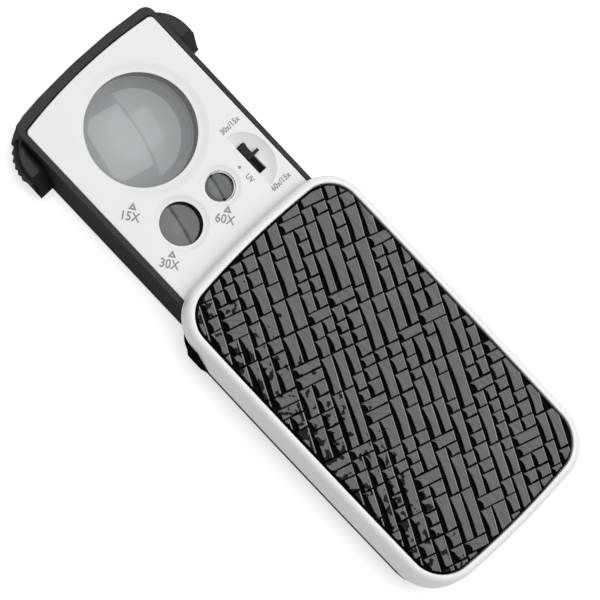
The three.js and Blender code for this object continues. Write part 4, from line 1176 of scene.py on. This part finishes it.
def make_lens(node, place, edge, top_sag, side_room, glass):
    """A lens whose curved faces end side_room inside its edge, the upper one as deep as top_sag."""
    x, y = place[:2]
    low, high = low_high(node)
    radius = (high.x - low.x) / 2
    aperture = radius - side_room
    under = lens_face(aperture, high.z - low.z - edge - top_sag)
    over = lens_face(aperture, top_sag)
    rim = [(radius, low.z + under[-1][1]), (radius, high.z - over[-1][1])]
    lower = [(r, low.z + drop) for r, drop in under]
    upper = [(r, high.z - drop) for r, drop in over]
    lens = lathe(f"{node}_polished", lower + rim + upper[::-1], TIP + x, y, LENS_SEGMENTS, "drawer")
    lens.data.materials.append(MATERIALS[glass])
    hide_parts(node)


def lens_face(aperture, sag):
    """Radii out to the aperture and how far the ball-shaped face has fallen there."""
    curve = (aperture ** 2 + sag ** 2) / (2 * sag)
    radii = [aperture * i / LENS_FACE_STEPS for i in range(LENS_FACE_STEPS + 1)]
    return [(r, curve - math.sqrt(curve ** 2 - r ** 2)) for r in radii]


def make_retainer():
    low, high = low_high("lens_retainer_15x")
    x, y = LARGE[:2]
    outer = (high.x - low.x) / 2
    wide = outer - RETAINER_FLANGE
    narrow = wide - RETAINER_TAPER
    inner = narrow - RETAINER_LIP
    lip_top = low.z + RETAINER_LIP_HEIGHT
    half_edge = RETAINER_EDGE / 2
    profile = [
        (inner, low.z),
        (outer, low.z),
        (outer, high.z),
        (wide + RETAINER_EDGE, high.z),
        (wide, high.z - RETAINER_EDGE),
        (narrow, lip_top),
        (inner + half_edge, lip_top - half_edge),
        (inner, low.z),
    ]
    ring = lathe("lens_retainer_turned", profile, TIP + x, y, LENS_SEGMENTS, "drawer")
    ring.data.materials.append(MATERIALS["grey_plastic"])
    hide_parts("lens_retainer_15x")


def make_knob():
    low, high = KNOB_LOW, KNOB_HIGH
    half_slot = SLOT_WIDTH / 2 - KNOB_SIDE_ROOM
    middle_y = SLOT_SIDE + SLOT_WIDTH / 2
    base_top = high.z - KNOB_BASE_DROP
    scoop_floor = PANEL_TOP - SCOOP_DEPTH - SCOOP_SKIN
    near, far = middle_y - half_slot, middle_y + half_slot
    base_low, base_high = (low.x, near, scoop_floor), (high.x, far, base_top)
    knob = box("switch_knob_moulded", base_low, base_high, "switch_slider")
    parts = []
    for i, reach in enumerate((far, near + half_slot, high.y)):
        start = low.x + (high.x - low.x - KNOB_RIDGE) * i / 2
        end = start + KNOB_RIDGE
        parts.append(((start, near, base_top - KNOB_RIDGE_SINK), (end, min(reach, far), high.z)))
        if reach > far:
            parts.append(((start, far - KNOB_RIDGE_OVERLAP, base_top), (end, reach, high.z)))
    middle_x = (low.x + high.x) / 2
    half_stem = KNOB_STEM / 2
    parts.append((
        (middle_x - half_stem, middle_y - half_stem, low.z),
        (middle_x + half_stem, middle_y + half_stem, base_top),
    ))
    for part_low, part_high in parts:
        carve(knob, box("knob_part", part_low, part_high), "UNION")
    bevel = knob.modifiers.new("edges", "BEVEL")
    bevel.width = KNOB_BEVEL * MM
    bevel.segments = KNOB_BEVEL_STEPS
    bevel.limit_method = "ANGLE"
    apply_modifiers(knob)
    shade(knob, KNOB_ANGLE)
    knob.data.materials.clear()
    knob.data.materials.append(MATERIALS["knob_plastic"])
    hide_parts("switch_knob")


def make_mark(name, text, x, y, turn, height):
    """Ink lettering on the panel, centred on a place, with its tops turned from +Y."""
    curve = bpy.data.curves.new(name, "FONT")
    curve.body = text
    curve.align_x = "CENTER"
    curve.align_y = "CENTER"
    curve.size = height * MM / CAPITAL_SHARE
    curve.space_character = LETTER_SPACE_SHARE
    curve.extrude = INK_THICKNESS / 2 * MM
    curve.offset = LETTER_BOLD * MM
    curve.resolution_u = LETTER_STEPS
    letters = bpy.data.objects.new(f"{name}_curve", curve)
    bpy.context.scene.collection.objects.link(letters)
    graph = bpy.context.evaluated_depsgraph_get()
    mesh = bpy.data.meshes.new_from_object(letters.evaluated_get(graph))
    bpy.data.objects.remove(letters)
    place = Vector((TIP + x, y, PANEL_TOP + INK_THICKNESS / 2)) * MM
    squeeze = Matrix.Diagonal((LETTER_SQUEEZE_SHARE, 1, 1, 1))
    mesh.transform(Matrix.Translation(place) @ Matrix.Rotation(math.radians(turn), 4, "Z") @ squeeze)
    finish_mark(name, mesh)


def finish_mark(name, mesh):
    mark = bpy.data.objects.new(name, mesh)
    bpy.context.scene.collection.objects.link(mark)
    mesh.materials.clear()
    mesh.materials.append(MATERIALS["mark_ink"])
    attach(mark, "drawer")


def make_flat_mark(name, outline, open_share=0.0):
    """A small inked shape on the panel, open in its middle by the share given."""
    low, high = PANEL_TOP + INK_LIFT, PANEL_TOP + INK_THICKNESS
    middle = sum((Vector(p) for p in outline), Vector((0, 0))) / len(outline)
    inner = [middle + (Vector(p) - middle) * open_share for p in outline]
    levels = [(outline, low), (outline, high)]
    if open_share:
        levels += [(inner, high), (inner, low), (outline, low)]
    rings = [[(TIP + x, y, z) for x, y in ring] for ring, z in levels]
    mark = loft(f"{name}_shape", rings, closed=bool(open_share))
    mesh = mark.data
    bpy.data.objects.remove(mark)
    finish_mark(name, mesh)


def make_marks():
    for name, text, x, y in MAGNIFICATIONS:
        make_mark(name, text, x, y, READING_TURN, LARGE_LETTER)
    for mark in SWITCH_MARKS:
        make_mark(*mark)
    angles = [i / DOT_SIDES * math.tau for i in range(DOT_SIDES)]
    dot = [(DOT[0] + DOT_RADIUS * math.cos(a), DOT[1] + DOT_RADIUS * math.sin(a)) for a in angles]
    make_flat_mark("mark_dot", dot)
    turn = math.radians(READING_TURN)
    right = Vector((math.cos(turn), math.sin(turn)))
    up = Vector((-math.sin(turn), math.cos(turn)))
    half, foot = right * ARROW_HALF_WIDTH, up * ARROW_FOOT
    for name, _, x, y in MAGNIFICATIONS:
        middle = Vector((x, y)) + up * ARROW_RISE + right * ARROW_SHIFT
        corners = (middle - half - foot, middle + half - foot, middle + up * ARROW_TIP)
        make_flat_mark(f"{name}_arrow", [tuple(c) for c in corners], ARROW_OPENING_SHARE)


# The scene

dress_cad_nodes()
make_floor()
make_world()
for soft_box_facts in SOFT_BOXES:
    make_soft_box(*soft_box_facts)
make_camera()
make_upper_shell()
make_corner_webs()
make_inlay()
make_panel()
for lens_facts in LENSES:
    make_lens(*lens_facts)
make_retainer()
make_knob()
make_marks()

bpy.context.scene.view_settings.view_transform = "Standard"
